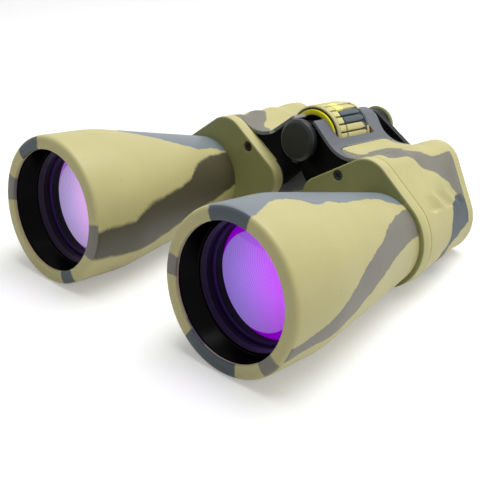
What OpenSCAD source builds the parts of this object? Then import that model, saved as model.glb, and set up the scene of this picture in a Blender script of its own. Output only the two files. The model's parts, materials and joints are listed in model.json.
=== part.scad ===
// Centre-focus Porro-prism binoculars with flared objective barrels.
// The row frame: Y runs along the optical axes towards the eyepieces, Z is up, and the origin
// lies on the hinge axis at the mouth of the tripod socket. The halves hang below the hinge.
// Left and right are the user's, who looks along -Y, so the left half is at +X.

/* [Layout] */
// Distance between the two objective axes
objective_spacing = 106.9; // [104:0.1:116]
// Height of the hinge axis above the objective axes
hinge_rise = 30.9; // [28:0.1:34]
// Distance between the two eyepiece axes in the stored position
eyepiece_spacing = 54.9; // [53:0.1:58]
// Height of the eyepiece axes above the objective axes
eyepiece_rise = 8; // [6:0.1:10]

/* [Objective barrel] */
// Thickness of the lip around the open bore
lip_wall = 6; // [5:0.1:8]
// Drop from the lip's radius to the crease where the cone starts
crease_drop = 0.5; // [0.2:0.1:1.5]
// Length of the lip, from the front of the barrel to the crease
lip_len = 28; // [22:0.5:34]
// Radius of the cone where it meets the front cover plate
neck_r = 20.4; // [20:0.1:21.2]
// Length of the barrel in front of the front cover plate
barrel_len = 96.6; // [88:0.1:110]
// Depth of the open bore in front of the lens cell
bore_depth = 12.6; // [9:0.1:16]
// Radius of the rounding around the mouth
lip_round = 1.6; // [0.8:0.1:2.2]
// Radius of the light path through the neck of the barrel
neck_bore_r = 17.2; // [15:0.1:17.8]

/* [Objective lens] */
// Radius of the lens glass
lens_r = 25; // [23:0.1:28]
// Depth of the lens edge behind the front of the lens cell
lens_depth = 10.6; // [8:0.1:12]
// Wall of the lens cell around the glass
cell_wall = 2; // [1.6:0.1:2.6]
// Length of the lens cell
cell_len = 24; // [23:0.5:28]
// Height of the bulge on each face of the front glass
crown_bulge = 3; // [2:0.1:3.6]
// Thickness of the front glass at its edge
crown_edge = 3; // [2.4:0.1:3.6]
// Thickness of the rear glass at its edge
flint_edge = 6.9; // [5.5:0.1:7.5]
// Height of the hollow in the rear face of the rear glass
flint_hollow = 0.8; // [0.4:0.1:1.2]
// Width of the ring that holds the lens in, seen from the front
ring_w = 1.4; // [1:0.1:2]
// Length of the ring that holds the lens in
lens_ring_len = 4.3; // [3:0.1:6]

/* [Cover plates] */
// Thickness of the front cover plate
front_cover_t = 6.5; // [6:0.1:8]
// Thickness of the rear cover plate
rear_cover_t = 5.1; // [4.4:0.1:5.4]
// Wall left in front of and behind the prisms in the cover plates
cover_wall = 2.2; // [1.8:0.1:2.4]
// Distance of the front cover plates ahead of the tripod socket's mouth
cover_lead = 4.4; // [4:0.1:5]
// Radius of the front cover plate around the barrel
barrel_lobe_r = 22.4; // [22:0.1:24]
// Radius of the top corner of the front cover plate
ridge_lobe_r = 13.5; // [12.5:0.1:14.5]
// Radius of the inner corner of the front cover plate
inner_lobe_r = 9.5; // [8.5:0.1:10.5]
// Radius of the outer corner of the rear cover plate
rear_outer_lobe_r = 18.7; // [17.8:0.1:19.4]
// Radius of the top corner of the rear cover plate
rear_ridge_lobe_r = 12.4; // [11.6:0.1:13]
// Radius of the rear cover plate's corner around the eyepiece
eye_lobe_r = 17; // [16.8:0.1:17.6]

/* [Housing and armour] */
// Wall of the prism housing
housing_wall = 2; // [1.6:0.1:2.4]
// Thickness of the armour skin and of the grey saddle skin
skin_t = 1.6; // [1.2:0.1:2]
// Radius of the hinge knuckles over the skin in front of the focus wheel
front_knuckle_r = 11.8; // [11.4:0.1:12.2]
// Angle around the hinge at which the saddle's two front arms end
front_shell_end = 60; // [54:1:64]
// Radius of the hinge knuckles over the skin behind the focus wheel
rear_knuckle_r = 10.1; // [10:0.1:11.4]
// Distance of the valley beside the hinge from the hinge axis
valley_x = 27; // [26:0.1:28.5]
// Radius of the valley beside the hinge
valley_r = 17; // [16:0.1:17.4]
// Depth of the valley below the hinge axis
valley_drop = 1.9; // [1.4:0.1:2.6]
// Thickness of the wing panel under the skin
wing_t = 2.4; // [2:0.1:3]
// Distance of the wings' front edge behind the tripod socket's mouth
wing_front = 3; // [2.9:0.1:3.6]
// Distance of the armour's tongue on the wing from the hinge axis
tongue_x = 19.3; // [18.5:0.1:20.5]
// Distance that the skin stands ahead of the wings
skin_lead = 1; // [0.7:0.1:1]

/* [Hinge] */
// Thickness of the left front hinge lug
left_front_lug = 3.6; // [3.2:0.1:4.4]
// Thickness of the right front hinge lug
right_front_lug = 3; // [2.6:0.1:4]
// Thickness of the right rear hinge lug
right_rear_lug = 4; // [3.4:0.1:5]
// Thickness of the left rear hinge lug
left_rear_lug = 6.9; // [6:0.1:8]
// Thickness of the hinge washers
washer_t = 0.4; // [0.3:0.1:0.5]
// Radius of the front hinge pin
pin_r = 5; // [4.6:0.1:5.6]
// Radius of the rear hinge sleeve
sleeve_r = 6.2; // [6:0.1:6.6]
// Radius of the tripod socket's tapped wall
socket_r = 2.6; // [2.5:0.05:3.2]
// Depth of the tripod socket
socket_depth = 7; // [6:0.1:7.4]
// Radius of the post head that carries the tripod cap
post_head_r = 8.4; // [8:0.1:8.6]
// Radius of the tripod cap
cap_r = 9.9; // [9.6:0.1:10]
// Thickness of the tripod cap's front
cap_front_t = 2.1; // [1.6:0.1:3]

/* [Focus] */
// Radius over the focus wheel's ridges
wheel_r = 15; // [14.6:0.1:15.4]
// Length of the focus wheel
wheel_len = 25.4; // [24:0.1:28]
// Number of ridges around the focus wheel
ridge_count = 24; // [16:1:32]
// Depth of the grooves between the ridges
groove_depth = 1.1; // [0.6:0.1:1.4]
// Width of the grooves between the ridges
groove_w = 1.1; // [0.8:0.1:1.6]
// Thickness of the wheel's rubber tyre
tyre_t = 2; // [1.9:0.1:2.4]
// Length of the row of short blocks at the wheel's front
block_len = 4.6; // [3.6:0.1:6]
// Plain rim at each end of the wheel
wheel_rim = 1.6; // [1:0.1:2]
// Width of the yellow index ring
index_w = 2.4; // [1.4:0.1:2.6]
// Height of the yellow index ring above the wheel's front
index_h = 0.9; // [0.6:0.1:0.9]
// Radius of the drive screw
screw_r = 3; // [2.7:0.05:3.2]
// Lead of the drive screw, the way that the bridge moves in one turn
screw_lead = 7.5; // [4:0.5:9]
// Turn of the wheel that moves the bridge back from the stored position, in degrees
wheel_turn_out = 280; // [180:5:300]
// Turn of the wheel that moves the bridge forwards from the stored position, in degrees
wheel_turn_in = 52; // [20:1:52]

/* [Bridge] */
// Thickness of each bridge arm
arm_t = 3; // [2.6:0.1:3.4]
// Radius of the arms' knuckles around the bridge tube
arm_knuckle_r = 8.4; // [7.8:0.1:9]
// Radius of the arms' outer ends, about the eyepiece axis
arm_end_r = 14.3; // [13.4:0.1:15.4]
// Wall of the arm's collar around the ocular barrel
collar_wall = 2.2; // [1.8:0.1:2.6]
// Radius of the bridge's end cap
end_cap_r = 9.4; // [9.1:0.1:10.4]
// Length of the bridge's end cap
end_cap_len = 3.7; // [3:0.1:5]
// Gap between the hinge block and the arms in the stored position
bridge_gap = 6.8; // [6.6:0.1:8]

/* [Eyepiece] */
// Radius of the ocular barrel where it slides in its guide
slider_r = 12.6; // [12.2:0.1:12.8]
// Radius of the ocular barrel in the arm's collar
ocular_r = 13.85; // [13.6:0.05:14.1]
// Wall of the eyepiece guide
guide_wall = 1.3; // [1:0.05:1.4]
// Width of the eyepiece guide's flange, which lies against the inside of the rear cover plate
guide_flange_w = 0.7; // [0.4:0.1:0.7]
// Length of the dioptre ring and of the left trim ring
ring_len = 4.6; // [4:0.1:6]
// Radius of the dioptre ring and of the left trim ring
ring_r = 16.8; // [16.4:0.1:17.4]
// Number of grooves around the dioptre ring
ring_grooves = 36; // [18:2:48]
// Length of the eyecup
eyecup_len = 11.4; // [10.4:0.1:16]
// Radius over the eyecup's mouth
eyecup_r = 16.8; // [16.4:0.1:18.4]
// Wall of the eyecup at its mouth
eyecup_wall = 1.6; // [1.4:0.1:2]
// Wall of the ocular barrel around the field lens
slider_wall = 1.4; // [1.2:0.1:1.8]
// Wall of the ocular barrel around the eye lens
neck_wall = 3.35; // [3:0.05:3.8]
// Thickness of the field lens at its edge
field_lens_edge = 3.2; // [2.4:0.1:3.6]
// Thickness of the eye lens at its edge
eye_lens_edge = 2.6; // [2:0.1:3]
// Height of the bulge on the faces of the eyepiece's lenses
ocular_bulge = 1; // [0.6:0.1:1.2]
// Width of the shoulders that the eyepiece's lenses rest on
lens_shoulder = 0.8; // [0.6:0.1:1.2]
// Length of the ocular barrel behind the front of the eyecup
neck_len = 5.4; // [5:0.1:6]
// Axial travel of the ocular barrel to each side when the dioptre ring is turned
dioptre_travel = 0.5; // [0.3:0.05:0.6]

/* [Prisms] */
// Radius of the light path through the prisms, half their width
beam_r = 8.6; // [8:0.1:8.8]
// Thickness of the prism shelf
shelf_t = 1.6; // [1.2:0.1:2]
// Room between the spring straps and the cover plates
prism_room_t = 1.1; // [0.8:0.1:1.6]
// Thickness of the spring straps
strap_t = 0.5; // [0.3:0.1:0.6]
// Width of the spring straps
strap_w = 6; // [4:0.5:8]

/* [Cover screws] */
// Radius of a cover screw's head
screw_head_r = 2.4; // [2:0.1:2.6]
// Height of a cover screw's head
screw_head_h = 1.4; // [1:0.1:1.5]
// Radius of a cover screw's shank
shank_r = 1.2; // [1:0.1:1.4]
// Length of a cover screw's shank
shank_len = 9; // [7:0.5:9.5]

/* [Clearances] */
// Radial clearance of a turning or sliding fit
run_gap = 0.05; // [0.03:0.01:0.08]
// Radial clearance of a fixed fit
seat_gap = 0.02; // [0.01:0.01:0.05]
// Clearance between neighbouring pieces
gap = 0.3; // [0.2:0.05:0.4]
// Clearance between the armour and the housing
skin_gap = 0.1; // [0.05:0.05:0.15]

/* [Hidden] */

ROUND = 96;
BLEND = 32;
EPS = 0.01;

// Places across the width: the objective axis and the eyepiece axis of the left half, from the hinge axis
barrel_at = [objective_spacing / 2, -hinge_rise];
eye_at = [eyepiece_spacing / 2, eyepiece_rise - hinge_rise];

// Radii that follow from the glass
bore_r = lens_r + cell_wall;
lip_r = bore_r + lip_wall;
crease_r = lip_r - crease_drop;
field_lens_r = slider_r - slider_wall;
eye_lens_r = ocular_r - neck_wall;

// Stations along Y
cover_front = -cover_lead;
cover_back = cover_front + front_cover_t;
housing_front = cover_back + gap / 2;
barrel_front = cover_front - barrel_len;
cell_front = barrel_front + bore_depth;
cell_back = cell_front + cell_len;
lens_edge = cell_front + lens_depth;
glass_back = lens_edge + crown_edge + flint_edge;
cell_lip = 1.6;
cell_seat_r = bore_r - 0.4;
cell_bore_r = lens_r + 0.45;
cell_chamfer = 2.4;
skin_front = wing_front - skin_lead;
lug_gap = washer_t + 2 * skin_gap;
left_front_end = wing_front + left_front_lug;
right_front_start = left_front_end + lug_gap;
right_front_end = right_front_start + right_front_lug;
wheel_front = right_front_end + index_h + gap + skin_gap * 2;
wheel_back = wheel_front + wheel_len;
right_rear_start = wheel_back + gap * 3;
right_rear_end = right_rear_start + right_rear_lug;
left_rear_start = right_rear_end + lug_gap;
left_rear_end = left_rear_start + left_rear_lug;
skin_back = left_rear_end + skin_gap;
housing_back = skin_back;
rear_cover_back = housing_back + rear_cover_t;
sleeve_flange_t = 1;

// The saddle's rear edge runs on behind the knuckles and is hollowed out beside them
shell_tail = 2.5;
waist = 2.75;

// Prism geometry: the light path steps from the objective axis to the eyepiece axis by two equal,
// square shifts
total_shift = eye_at - barrel_at;
mid_at = barrel_at + total_shift / 2;
turn_at = mid_at + [total_shift[1], -total_shift[0]] / 2;
shift = norm(turn_at - barrel_at);
prism_half = shift / 2 + beam_r;
prism_h = prism_half;
shelf_front = cover_front + cover_wall + prism_room_t + strap_t + prism_h;
shelf_back = shelf_front + shelf_t;
strap_play = 0.1;
strap_back = shelf_back + prism_h + strap_play + strap_t;

// Stations of the bridge and the eyepieces
focus_out = screw_lead * wheel_turn_out / 360;
focus_in = screw_lead * wheel_turn_in / 360;
arm_front = left_rear_end + bridge_gap;
left_arm_back = arm_front + arm_t;
right_arm_front = left_arm_back + gap;
collar_back = right_arm_front + arm_t;
end_cap_front = collar_back + gap;
ring_front = collar_back + gap;
ring_back = ring_front + ring_len;
eyecup_front = ring_back + dioptre_travel + gap;
eyecup_back = eyecup_front + eyecup_len;
neck_back = eyecup_front + neck_len;
eye_shoulder = neck_back - ocular_bulge - eye_lens_edge - gap;
guide_front = strap_back + gap;
guide_r = slider_r + run_gap + guide_wall;
guide_flange_back = rear_cover_back - cover_wall;
guide_flange_t = 1.4;
slider_front = guide_front + focus_in + dioptre_travel;
slider_back = arm_front + gap;
field_stop = slider_front + slider_wall + field_lens_edge + ocular_bulge * 2 + skin_gap;

// Hinge knuckles: the saddle's shells lie over the lugs, and the rear one is the left half's alone
left_lug_r = post_head_r;
right_lug_r = post_head_r - gap + skin_gap;
shell_in_r = post_head_r + skin_gap;
rear_shell_end = 113;
opening_max = 42;
fold_back = 8;
right_arm_angle = 180 - rear_shell_end - opening_max - 2;
post_end = wheel_front + 5 - gap;
cap_back = skin_front - gap;
spigot_r = neck_r - 1.4;

// Wheel and drive
wheel_cut_r = wheel_r + gap;
front_arm_back = right_front_end + gap;
window_back = right_rear_start + 1.8;
core_r = wheel_r - tyre_t;
recess_depth = 5;
recess_r = core_r - index_w;
recess_floor = wheel_front + recess_depth;
tube_bore_r = screw_r + run_gap;
sleeve_wall = 1.3;
sleeve_bore_r = sleeve_r - sleeve_wall;
tube_r = sleeve_bore_r - run_gap;
journal_r = pin_r / 2;
journal_len = 2;
rear_journal_len = 2.4;
tube_front = wheel_back + rear_journal_len + focus_in + gap * 2;
end_spigot = 2.2;
screw_back = end_cap_front - end_spigot - focus_in - gap;

// Outlines of the covers and the housing: corner circles as [centre from the objective axis, radius]
ridge_lobe_at = [-11, 19.5];
inner_lobe_at = [-35.5, 8.5];
rear_outer_lobe_at = [-5.2, -0.8];
rear_ridge_lobe_at = [-10.4, 21.6];
front_lobes = [
    [barrel_at, barrel_lobe_r],
    [barrel_at + ridge_lobe_at, ridge_lobe_r],
    [barrel_at + inner_lobe_at, inner_lobe_r]
];
rear_lobes = [
    [barrel_at + rear_outer_lobe_at, rear_outer_lobe_r],
    [barrel_at + rear_ridge_lobe_at, rear_ridge_lobe_r],
    [eye_at, eye_lobe_r]
];

// Skin over the wing: a knuckle arc, a straight slope and a valley arc
valley_z = valley_r - valley_drop;
slope_angle = atan2(valley_z, valley_x)
    + acos((front_knuckle_r + valley_r) / norm([valley_x, valley_z]));
wing_end = 35.5;
web_lobe_at = [34, -8];
web_lobe_r = 12;
rear_web_lobe_at = [24, -5];
rear_web_lobe_r = 6;

// Cover screws, from the objective axis
front_screws = [[-26.2, 21.8]];
rear_screws = [[9.5, 2], [-7, 29.5], [-14, -12]];
boss_r = screw_head_r + 0.7;
boss_len = 7;

// Curvature radius of a spherical face from the radius and the height of its bulge
function bulge_radius(r, h) = (r * r + h * h) / (2 * h);

// Points of the wing's outer face, lowered by t
function wing_face(knuckle, t) =
    let (
        a = atan2(valley_z, valley_x) + acos((knuckle + valley_r) / norm([valley_x, valley_z])),
        r = knuckle - t,
        v = valley_r + t,
        first = slope_angle + 180,
        last = 270 + asin((wing_end - valley_x) / v)
    )
    concat(
        [for (i = [0:6]) let (th = 90 - i * (90 - a) / 6) [r * cos(th), r * sin(th)]],
        [for (i = [0:12]) let (th = first + i * (last - first) / 12)
            [valley_x + v * cos(th), valley_z + v * sin(th)]]
    );

// Outline of the armour's tongue on the wing, seen from above, grown by g
function tongue_outline(g) =
    let (inner = tongue_x - g, front = wing_front - g, back = skin_back + g)
    [
        [wing_end + 2, front - 3], [30 - g, front - 3], [29 - g, front + 0.5], [26, front + 1.1],
        [23, front + 1.8], [21.2 - g / 2, front + 2.6], [inner + 0.7, front + 3.7],
        [inner + 0.2, front + 5.4], [inner, front + 11],
        [inner, back - 9.5], [inner + 0.5, back - 6.5], [inner + 1.6, back - 4.6], [inner + 3.6, back - 3],
        [inner + 6.4, back - 1.8], [inner + 9, back + 1], [wing_end + 2, back + 1]
    ];

// Turns points of [radius, y] about an axis along Y
module turned(points) rotate([-90, 0, 0]) rotate_extrude($fn = ROUND) polygon(points);

// Extrudes an outline across X and Z from y0 to y1
module slab(y0, y1) translate([0, y1, 0]) rotate([90, 0, 0]) linear_extrude(y1 - y0) children();

module rod(r, y0, y1) translate([0, y0, 0]) rotate([-90, 0, 0]) cylinder(r = r, h = y1 - y0, $fn = ROUND);

module tube(r_out, r_in, y0, y1) difference() {
    rod(r_out, y0, y1);
    rod(r_in, y0 - EPS, y1 + EPS);
}

module at(p) translate([p[0], 0, p[1]]) children();

module mirrored() mirror([1, 0, 0]) children();

// Outline through a set of corner circles, shrunk by inset
module lobes_outline(lobes, inset) hull()
    for (l = lobes) translate(l[0]) circle(r = l[1] - inset, $fn = BLEND * 2);

// Body that blends from the front outline to the rear outline, longer by over at both ends
module loft(inset, over) hull() {
    for (l = front_lobes) at(l[0]) rotate([-90, 0, 0])
        translate([0, 0, housing_front - over]) cylinder(r = l[1] - inset, h = gap, $fn = BLEND);
    for (l = rear_lobes) at(l[0]) rotate([-90, 0, 0])
        translate([0, 0, housing_back + over - gap]) cylinder(r = l[1] - inset, h = gap, $fn = BLEND);
}

// Everything under the wing's outer face, lowered by t
module under_wing(knuckle, t) polygon(concat(wing_face(knuckle, t), [[wing_end, -70], [0, -70]]));

// Band that runs along the wing, between the depths t0 and t1 under its outer face
module wing_band(knuckle, t0, t1) difference() {
    under_wing(knuckle, t0);
    under_wing(knuckle, t1);
}

// Layer of the wing between the depths t0 and t1; its crest is lower behind the focus wheel
module wing_layer(y0, y1, t0, t1) {
    slab(y0, (wheel_front + wheel_back) / 2) wing_band(front_knuckle_r, t0, t1);
    slab((wheel_front + wheel_back) / 2 - EPS, y1) wing_band(rear_knuckle_r, t0, t1);
}

// Wedge about the hinge axis between two angles
module sector(r, a0, a1) polygon(concat(
    [[0, 0]],
    [for (i = [0:8]) let (th = a0 + i * (a1 - a0) / 8) [r * cos(th), r * sin(th)]]
));

// Space around the knuckle, above the angle a0, that the other half's skin sweeps
module knuckle_clear(r_in, r_out, a0) intersection() {
    difference() {
        circle(r = r_out, $fn = ROUND);
        circle(r = r_in, $fn = ROUND);
    }
    sector(r_out * 2, a0, 200);
}

// Saddle seen from above
module saddle_plan() translate([0, 0, -60]) linear_extrude(100) polygon([
    [-20, skin_front - 1], [wing_end + 1, skin_front - 1], [wing_end + 1, skin_back],
    [26.6, skin_back], [24.5, skin_back - waist * 0.45], [21.6, skin_back - waist * 0.7],
    [19.3, skin_back - waist * 0.85], [17.2, skin_back - waist], [14.8, skin_back - waist * 0.9],
    [11.4, skin_back - waist * 0.3], [8.7, skin_back + shell_tail * 0.5],
    [6.5, skin_back + shell_tail], [-20, skin_back + shell_tail]
]);

module tongue_plan(g) translate([0, 0, -60]) linear_extrude(100) polygon(tongue_outline(g));

// Side of the webs under the hinge, slanted so that the halves can fold back a little
module web_side() sector(90, fold_back / 2 + 1.4 - 90, 90);

// Web between the front lugs and the housing, grown by g
module front_web(lug_r, g) intersection() {
    under_wing(front_knuckle_r, skin_t + skin_gap);
    web_side();
    hull() {
        circle(r = lug_r - gap, $fn = BLEND * 2);
        translate(web_lobe_at) circle(r = web_lobe_r + g, $fn = BLEND);
        translate(barrel_at + inner_lobe_at) circle(r = inner_lobe_r - 1 + g, $fn = BLEND);
    }
}

// Web between the rear lugs and the wing, grown by g
module rear_web(lug_r, g) intersection() {
    under_wing(rear_knuckle_r, skin_t + skin_gap);
    web_side();
    hull() {
        circle(r = lug_r - gap, $fn = BLEND * 2);
        translate(rear_web_lobe_at) circle(r = rear_web_lobe_r + g, $fn = BLEND);
    }
}

// Screw bosses inside the housing, at both ends
module bosses() {
    for (p = front_screws) at(barrel_at + p) rod(boss_r, housing_front - 1, housing_front + boss_len);
    for (p = rear_screws) at(barrel_at + p) rod(boss_r, housing_back - boss_len, housing_back + 1);
}

// Holes for the cover screws' shanks
module screw_holes() {
    for (p = front_screws) at(barrel_at + p)
        rod(shank_r + seat_gap, cover_front - 1, cover_front + 1.8 + shank_len + gap);
    for (p = rear_screws) at(barrel_at + p)
        rod(shank_r + seat_gap, rear_cover_back - 1.8 - shank_len - gap, rear_cover_back + 1);
}

module screw_seats() {
    for (p = front_screws) at(barrel_at + p)
        rod(screw_head_r + 0.1, cover_front - 1, cover_front + 0.4 + screw_head_h);
    for (p = rear_screws) at(barrel_at + p)
        rod(screw_head_r + 0.1, rear_cover_back - 0.4 - screw_head_h, rear_cover_back + 1);
}

// Points [radius, y] along a lens face from the radius ra to rb. The face passes through y0 at its
// edge r and bulges by h towards +Y; a negative h bulges towards -Y.
function face_points(r, y0, h, ra, rb) =
    let (c = bulge_radius(r, abs(h)), side = h > 0 ? 1 : -1)
    [for (i = [0:12]) let (p = ra + i * (rb - ra) / 12)
        [p, y0 + side * (abs(h) - c + sqrt(c * c - p * p))]];

// Lens between y0 and y1 at its edge, whose faces bulge by front and back towards -Y and +Y
module lens(r, y0, y1, front, back) turned(concat(
    face_points(r, y0, -front, 0, r),
    face_points(r, y1, back, r, 0)
));

// Objective barrel: rounded lip, open bore, seat for the lens cell, and a cone down to the neck
module objective_barrel() at(barrel_at) turned([
    [cell_seat_r, cell_back], [cell_seat_r, cell_front], [bore_r, cell_front],
    [bore_r, barrel_front + lip_round],
    for (i = [1:4]) [
        bore_r + lip_round * (1 - cos(i * 22.5)),
        barrel_front + lip_round * (1 - sin(i * 22.5))
    ],
    for (i = [0:4]) [
        lip_r - lip_round * (1 - sin(i * 22.5)),
        barrel_front + lip_round * (1 - cos(i * 22.5))
    ],
    [crease_r, barrel_front + lip_len], [neck_r, cover_front], [spigot_r, cover_front],
    [spigot_r, cover_front + cover_wall], [neck_bore_r, cover_front + cover_wall],
    [neck_bore_r, cover_front], [bore_r - 1, cell_back]
]);

module lens_cell() at(barrel_at) turned([
    [cell_seat_r - seat_gap, cell_front + 0.5], [cell_seat_r - seat_gap, cell_back],
    [lens_r - cell_lip, cell_back], [lens_r - cell_lip, glass_back + skin_gap],
    [lens_r + seat_gap, glass_back + skin_gap], [lens_r + seat_gap, lens_edge - gap],
    [cell_bore_r, lens_edge - gap], [cell_bore_r, cell_front + cell_chamfer],
    [cell_seat_r - seat_gap - 0.5, cell_front]
]);

module lens_ring() at(barrel_at) turned([
    [cell_bore_r - seat_gap - ring_w, lens_edge - gap], [cell_bore_r - seat_gap, lens_edge - gap],
    [cell_bore_r - seat_gap, lens_edge - gap - lens_ring_len],
    [cell_bore_r - seat_gap - ring_w + 0.2, lens_edge - gap - lens_ring_len],
    [cell_bore_r - seat_gap - ring_w, lens_edge - gap - lens_ring_len + 0.4]
]);

module objective_crown() at(barrel_at)
    lens(lens_r, lens_edge, lens_edge + crown_edge, crown_bulge, crown_bulge);

// Rear glass, hollow towards the front glass and slightly hollow behind
module objective_flint() at(barrel_at) turned(concat(
    face_points(lens_r, lens_edge + crown_edge + 0.05, crown_bulge, 0, lens_r),
    face_points(lens_r, glass_back, -flint_hollow, lens_r, 0)
));

module front_cover() difference() {
    hull() {
        slab(cover_front, cover_front + EPS) lobes_outline(front_lobes, 0.9);
        slab(cover_front + 0.9, cover_back) lobes_outline(front_lobes, 0);
    }
    slab(cover_front + cover_wall, cover_back + 1) difference() {
        lobes_outline(front_lobes, cover_wall);
        for (p = front_screws) translate(barrel_at + p) circle(r = boss_r, $fn = BLEND);
    }
    at(barrel_at) rod(spigot_r + seat_gap, cover_front - 1, cover_back + 1);
    screw_holes();
    screw_seats();
}

module rear_cover() difference() {
    hull() {
        slab(housing_back, rear_cover_back - 0.9) lobes_outline(rear_lobes, 0);
        slab(rear_cover_back - EPS, rear_cover_back) lobes_outline(rear_lobes, 0.9);
    }
    slab(housing_back - 1, rear_cover_back - cover_wall) difference() {
        lobes_outline(rear_lobes, cover_wall);
        for (p = rear_screws) translate(barrel_at + p) circle(r = boss_r, $fn = BLEND);
    }
    at(eye_at) rod(guide_r + seat_gap, housing_back - 1, rear_cover_back + 1);
    screw_holes();
    screw_seats();
}

module cover_screw(y, side) translate([0, y, 0]) mirror([0, side, 0]) difference() {
    union() {
        rod(screw_head_r, 0, screw_head_h);
        rod(shank_r, screw_head_h - EPS, screw_head_h + shank_len);
    }
    for (a = [0, 90]) rotate([0, a, 0]) translate([-1.4, -1, -0.3]) cube([2.8, 1.8, 0.6]);
}

module cover_screws() {
    for (p = front_screws) at(barrel_at + p) cover_screw(cover_front + 0.4, 0);
    for (p = rear_screws) at(barrel_at + p) cover_screw(rear_cover_back - 0.4, 1);
}

// Room for the prisms: the part in front of the shelf is wider, so that the shelf rests on a ledge
module prism_room() {
    loft(skin_t + skin_gap + housing_wall + 1.2, gap);
    intersection() {
        loft(skin_t + skin_gap + housing_wall, gap);
        translate([0, housing_front - 1, -90]) cube([100, shelf_back - housing_front + 1, 120]);
    }
}

// Housing with its wing and hinge lugs. own and other are the front and rear lugs' stations of this
// half and of the other half; arm_angle is the angle above which the knuckle is left clear.
module prism_housing(own, other, lug_r, other_r, arm_angle, clear_r) difference() {
    union() {
        loft(skin_t + skin_gap, 0);
        slab(wing_front, right_front_end) front_web(lug_r, 0);
        slab(wheel_back - 8, left_rear_end) rear_web(lug_r, 0);
        for (s = own) rod(lug_r, s[0], s[1]);
        wing_layer(wing_front, left_rear_end, skin_t + skin_gap, skin_t + skin_gap + wing_t);
    }
    difference() {
        prism_room();
        bosses();
    }
    screw_holes();
    rod(wheel_cut_r, right_front_end, right_rear_start);
    slab(wing_front - 1, left_rear_end + 1) knuckle_clear(lug_r + seat_gap, clear_r, arm_angle);
    for (s = other) rod(other_r + gap, s[0], s[1]);
    rod(own[0][2], wing_front - 1, right_front_end + 1);
    rod(own[1][2], right_rear_start - 1, left_rear_end + 1);
    at(eye_at) rod(guide_r + gap, guide_front - gap, housing_back + 1);
}

// Armour around the housing, with the tongue that reaches over the wing
module armour() difference() {
    union() {
        difference() {
            loft(0, 0);
            loft(skin_t, gap);
            slab(wing_front - gap, right_front_end + gap) front_web(left_lug_r, gap);
            slab(wheel_back - 8 - gap, housing_back + 1) rear_web(left_lug_r, gap);
            slab(housing_front - 1, housing_back + 1)
                wing_band(front_knuckle_r, skin_t, skin_t + skin_gap * 2 + wing_t);
        }
        intersection() {
            slab(skin_front, skin_back) wing_band(front_knuckle_r, 0, skin_t);
            saddle_plan();
            tongue_plan(0);
        }
    }
    slab(skin_front - 1, cover_back + gap / 2) lobes_outline(front_lobes, -gap / 2);
}

// Grey skin over the wing inside the tongue, without the window for the focus wheel
module wing_skin() difference() {
    intersection() {
        wing_layer(skin_front, skin_back + shell_tail, 0, skin_t);
        saddle_plan();
    }
    tongue_plan(skin_gap);
    rod(wheel_cut_r, front_arm_back, window_back);
    slab(skin_front - 1, front_arm_back + EPS) sector(wheel_cut_r, front_shell_end, 200);
}

// Shell over the hinge knuckles, up to an angle
module knuckle_shell(knuckle, y0, y1, end) slab(y0, y1) intersection() {
    difference() {
        circle(r = knuckle, $fn = ROUND);
        circle(r = shell_in_r, $fn = ROUND);
    }
    sector(knuckle * 2, slope_angle - 5, end);
}

module front_arm_shell() knuckle_shell(front_knuckle_r, skin_front, front_arm_back, front_shell_end);

module prism_shelf() difference() {
    intersection() {
        loft(skin_t + skin_gap + housing_wall + 0.1, 0);
        translate([0, shelf_front, -90]) cube([100, shelf_t, 120]);
    }
    for (p = [barrel_at, turn_at, eye_at]) at(p) rod(beam_r - 0.2, shelf_front - 1, shelf_back + 1);
}

// Porro prism whose wide face lies on the plane y = 0 and spans the ports a and b; the roof points to +Y
module prism(a, b) intersection() {
    slab(0, prism_h + 1) hull() {
        translate(a) circle(r = beam_r, $fn = BLEND * 2);
        translate(b) circle(r = beam_r, $fn = BLEND * 2);
    }
    at((a + b) / 2) rotate([0, -atan2(b[1] - a[1], b[0] - a[0]), 0]) translate([0, 0, -beam_r])
        linear_extrude(beam_r * 2) polygon([
            [-prism_half, 0], [prism_half, 0], [0.3, prism_h], [-0.3, prism_h]
        ]);
}

// Spring strap over a prism of the same ports
module strap(a, b) at((a + b) / 2) rotate([0, -atan2(b[1] - a[1], b[0] - a[0]), 0]) difference() {
    translate([-strap_w / 2, 0, -beam_r - strap_play - strap_t])
        cube([strap_w, prism_h + strap_play + strap_t, (beam_r + strap_play + strap_t) * 2]);
    translate([-strap_w, -1, -beam_r - strap_play])
        cube([strap_w * 2, prism_h + strap_play + 1, (beam_r + strap_play) * 2]);
}

module front_prism() translate([0, shelf_front, 0]) mirror([0, 1, 0]) prism(turn_at, eye_at);

module rear_prism() translate([0, shelf_back, 0]) prism(barrel_at, turn_at);

module prism_straps() {
    translate([0, shelf_front, 0]) mirror([0, 1, 0]) strap(turn_at, eye_at);
    translate([0, shelf_back, 0]) strap(barrel_at, turn_at);
}

module eyepiece_guide() at(eye_at) difference() {
    union() {
        rod(guide_r, guide_front, rear_cover_back);
        rod(guide_r + guide_flange_w, guide_flange_back - guide_flange_t, guide_flange_back);
    }
    rod(slider_r + run_gap, guide_front - 1, rear_cover_back + 1);
}

// Arm from the bridge tube to the collar around the ocular barrel
module bridge_arm(y0, y1, hub_bore, collar_bore) difference() {
    union() {
        slab(y0, y1) hull() {
            circle(r = arm_knuckle_r, $fn = BLEND * 2);
            translate(eye_at) circle(r = arm_end_r, $fn = BLEND * 2);
        }
        at(eye_at) rod(ocular_r + collar_wall, arm_front, collar_back);
    }
    rod(hub_bore, arm_front - 1, collar_back + 1);
    at(eye_at) rod(collar_bore, arm_front - 1, collar_back + 1);
}

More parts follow.
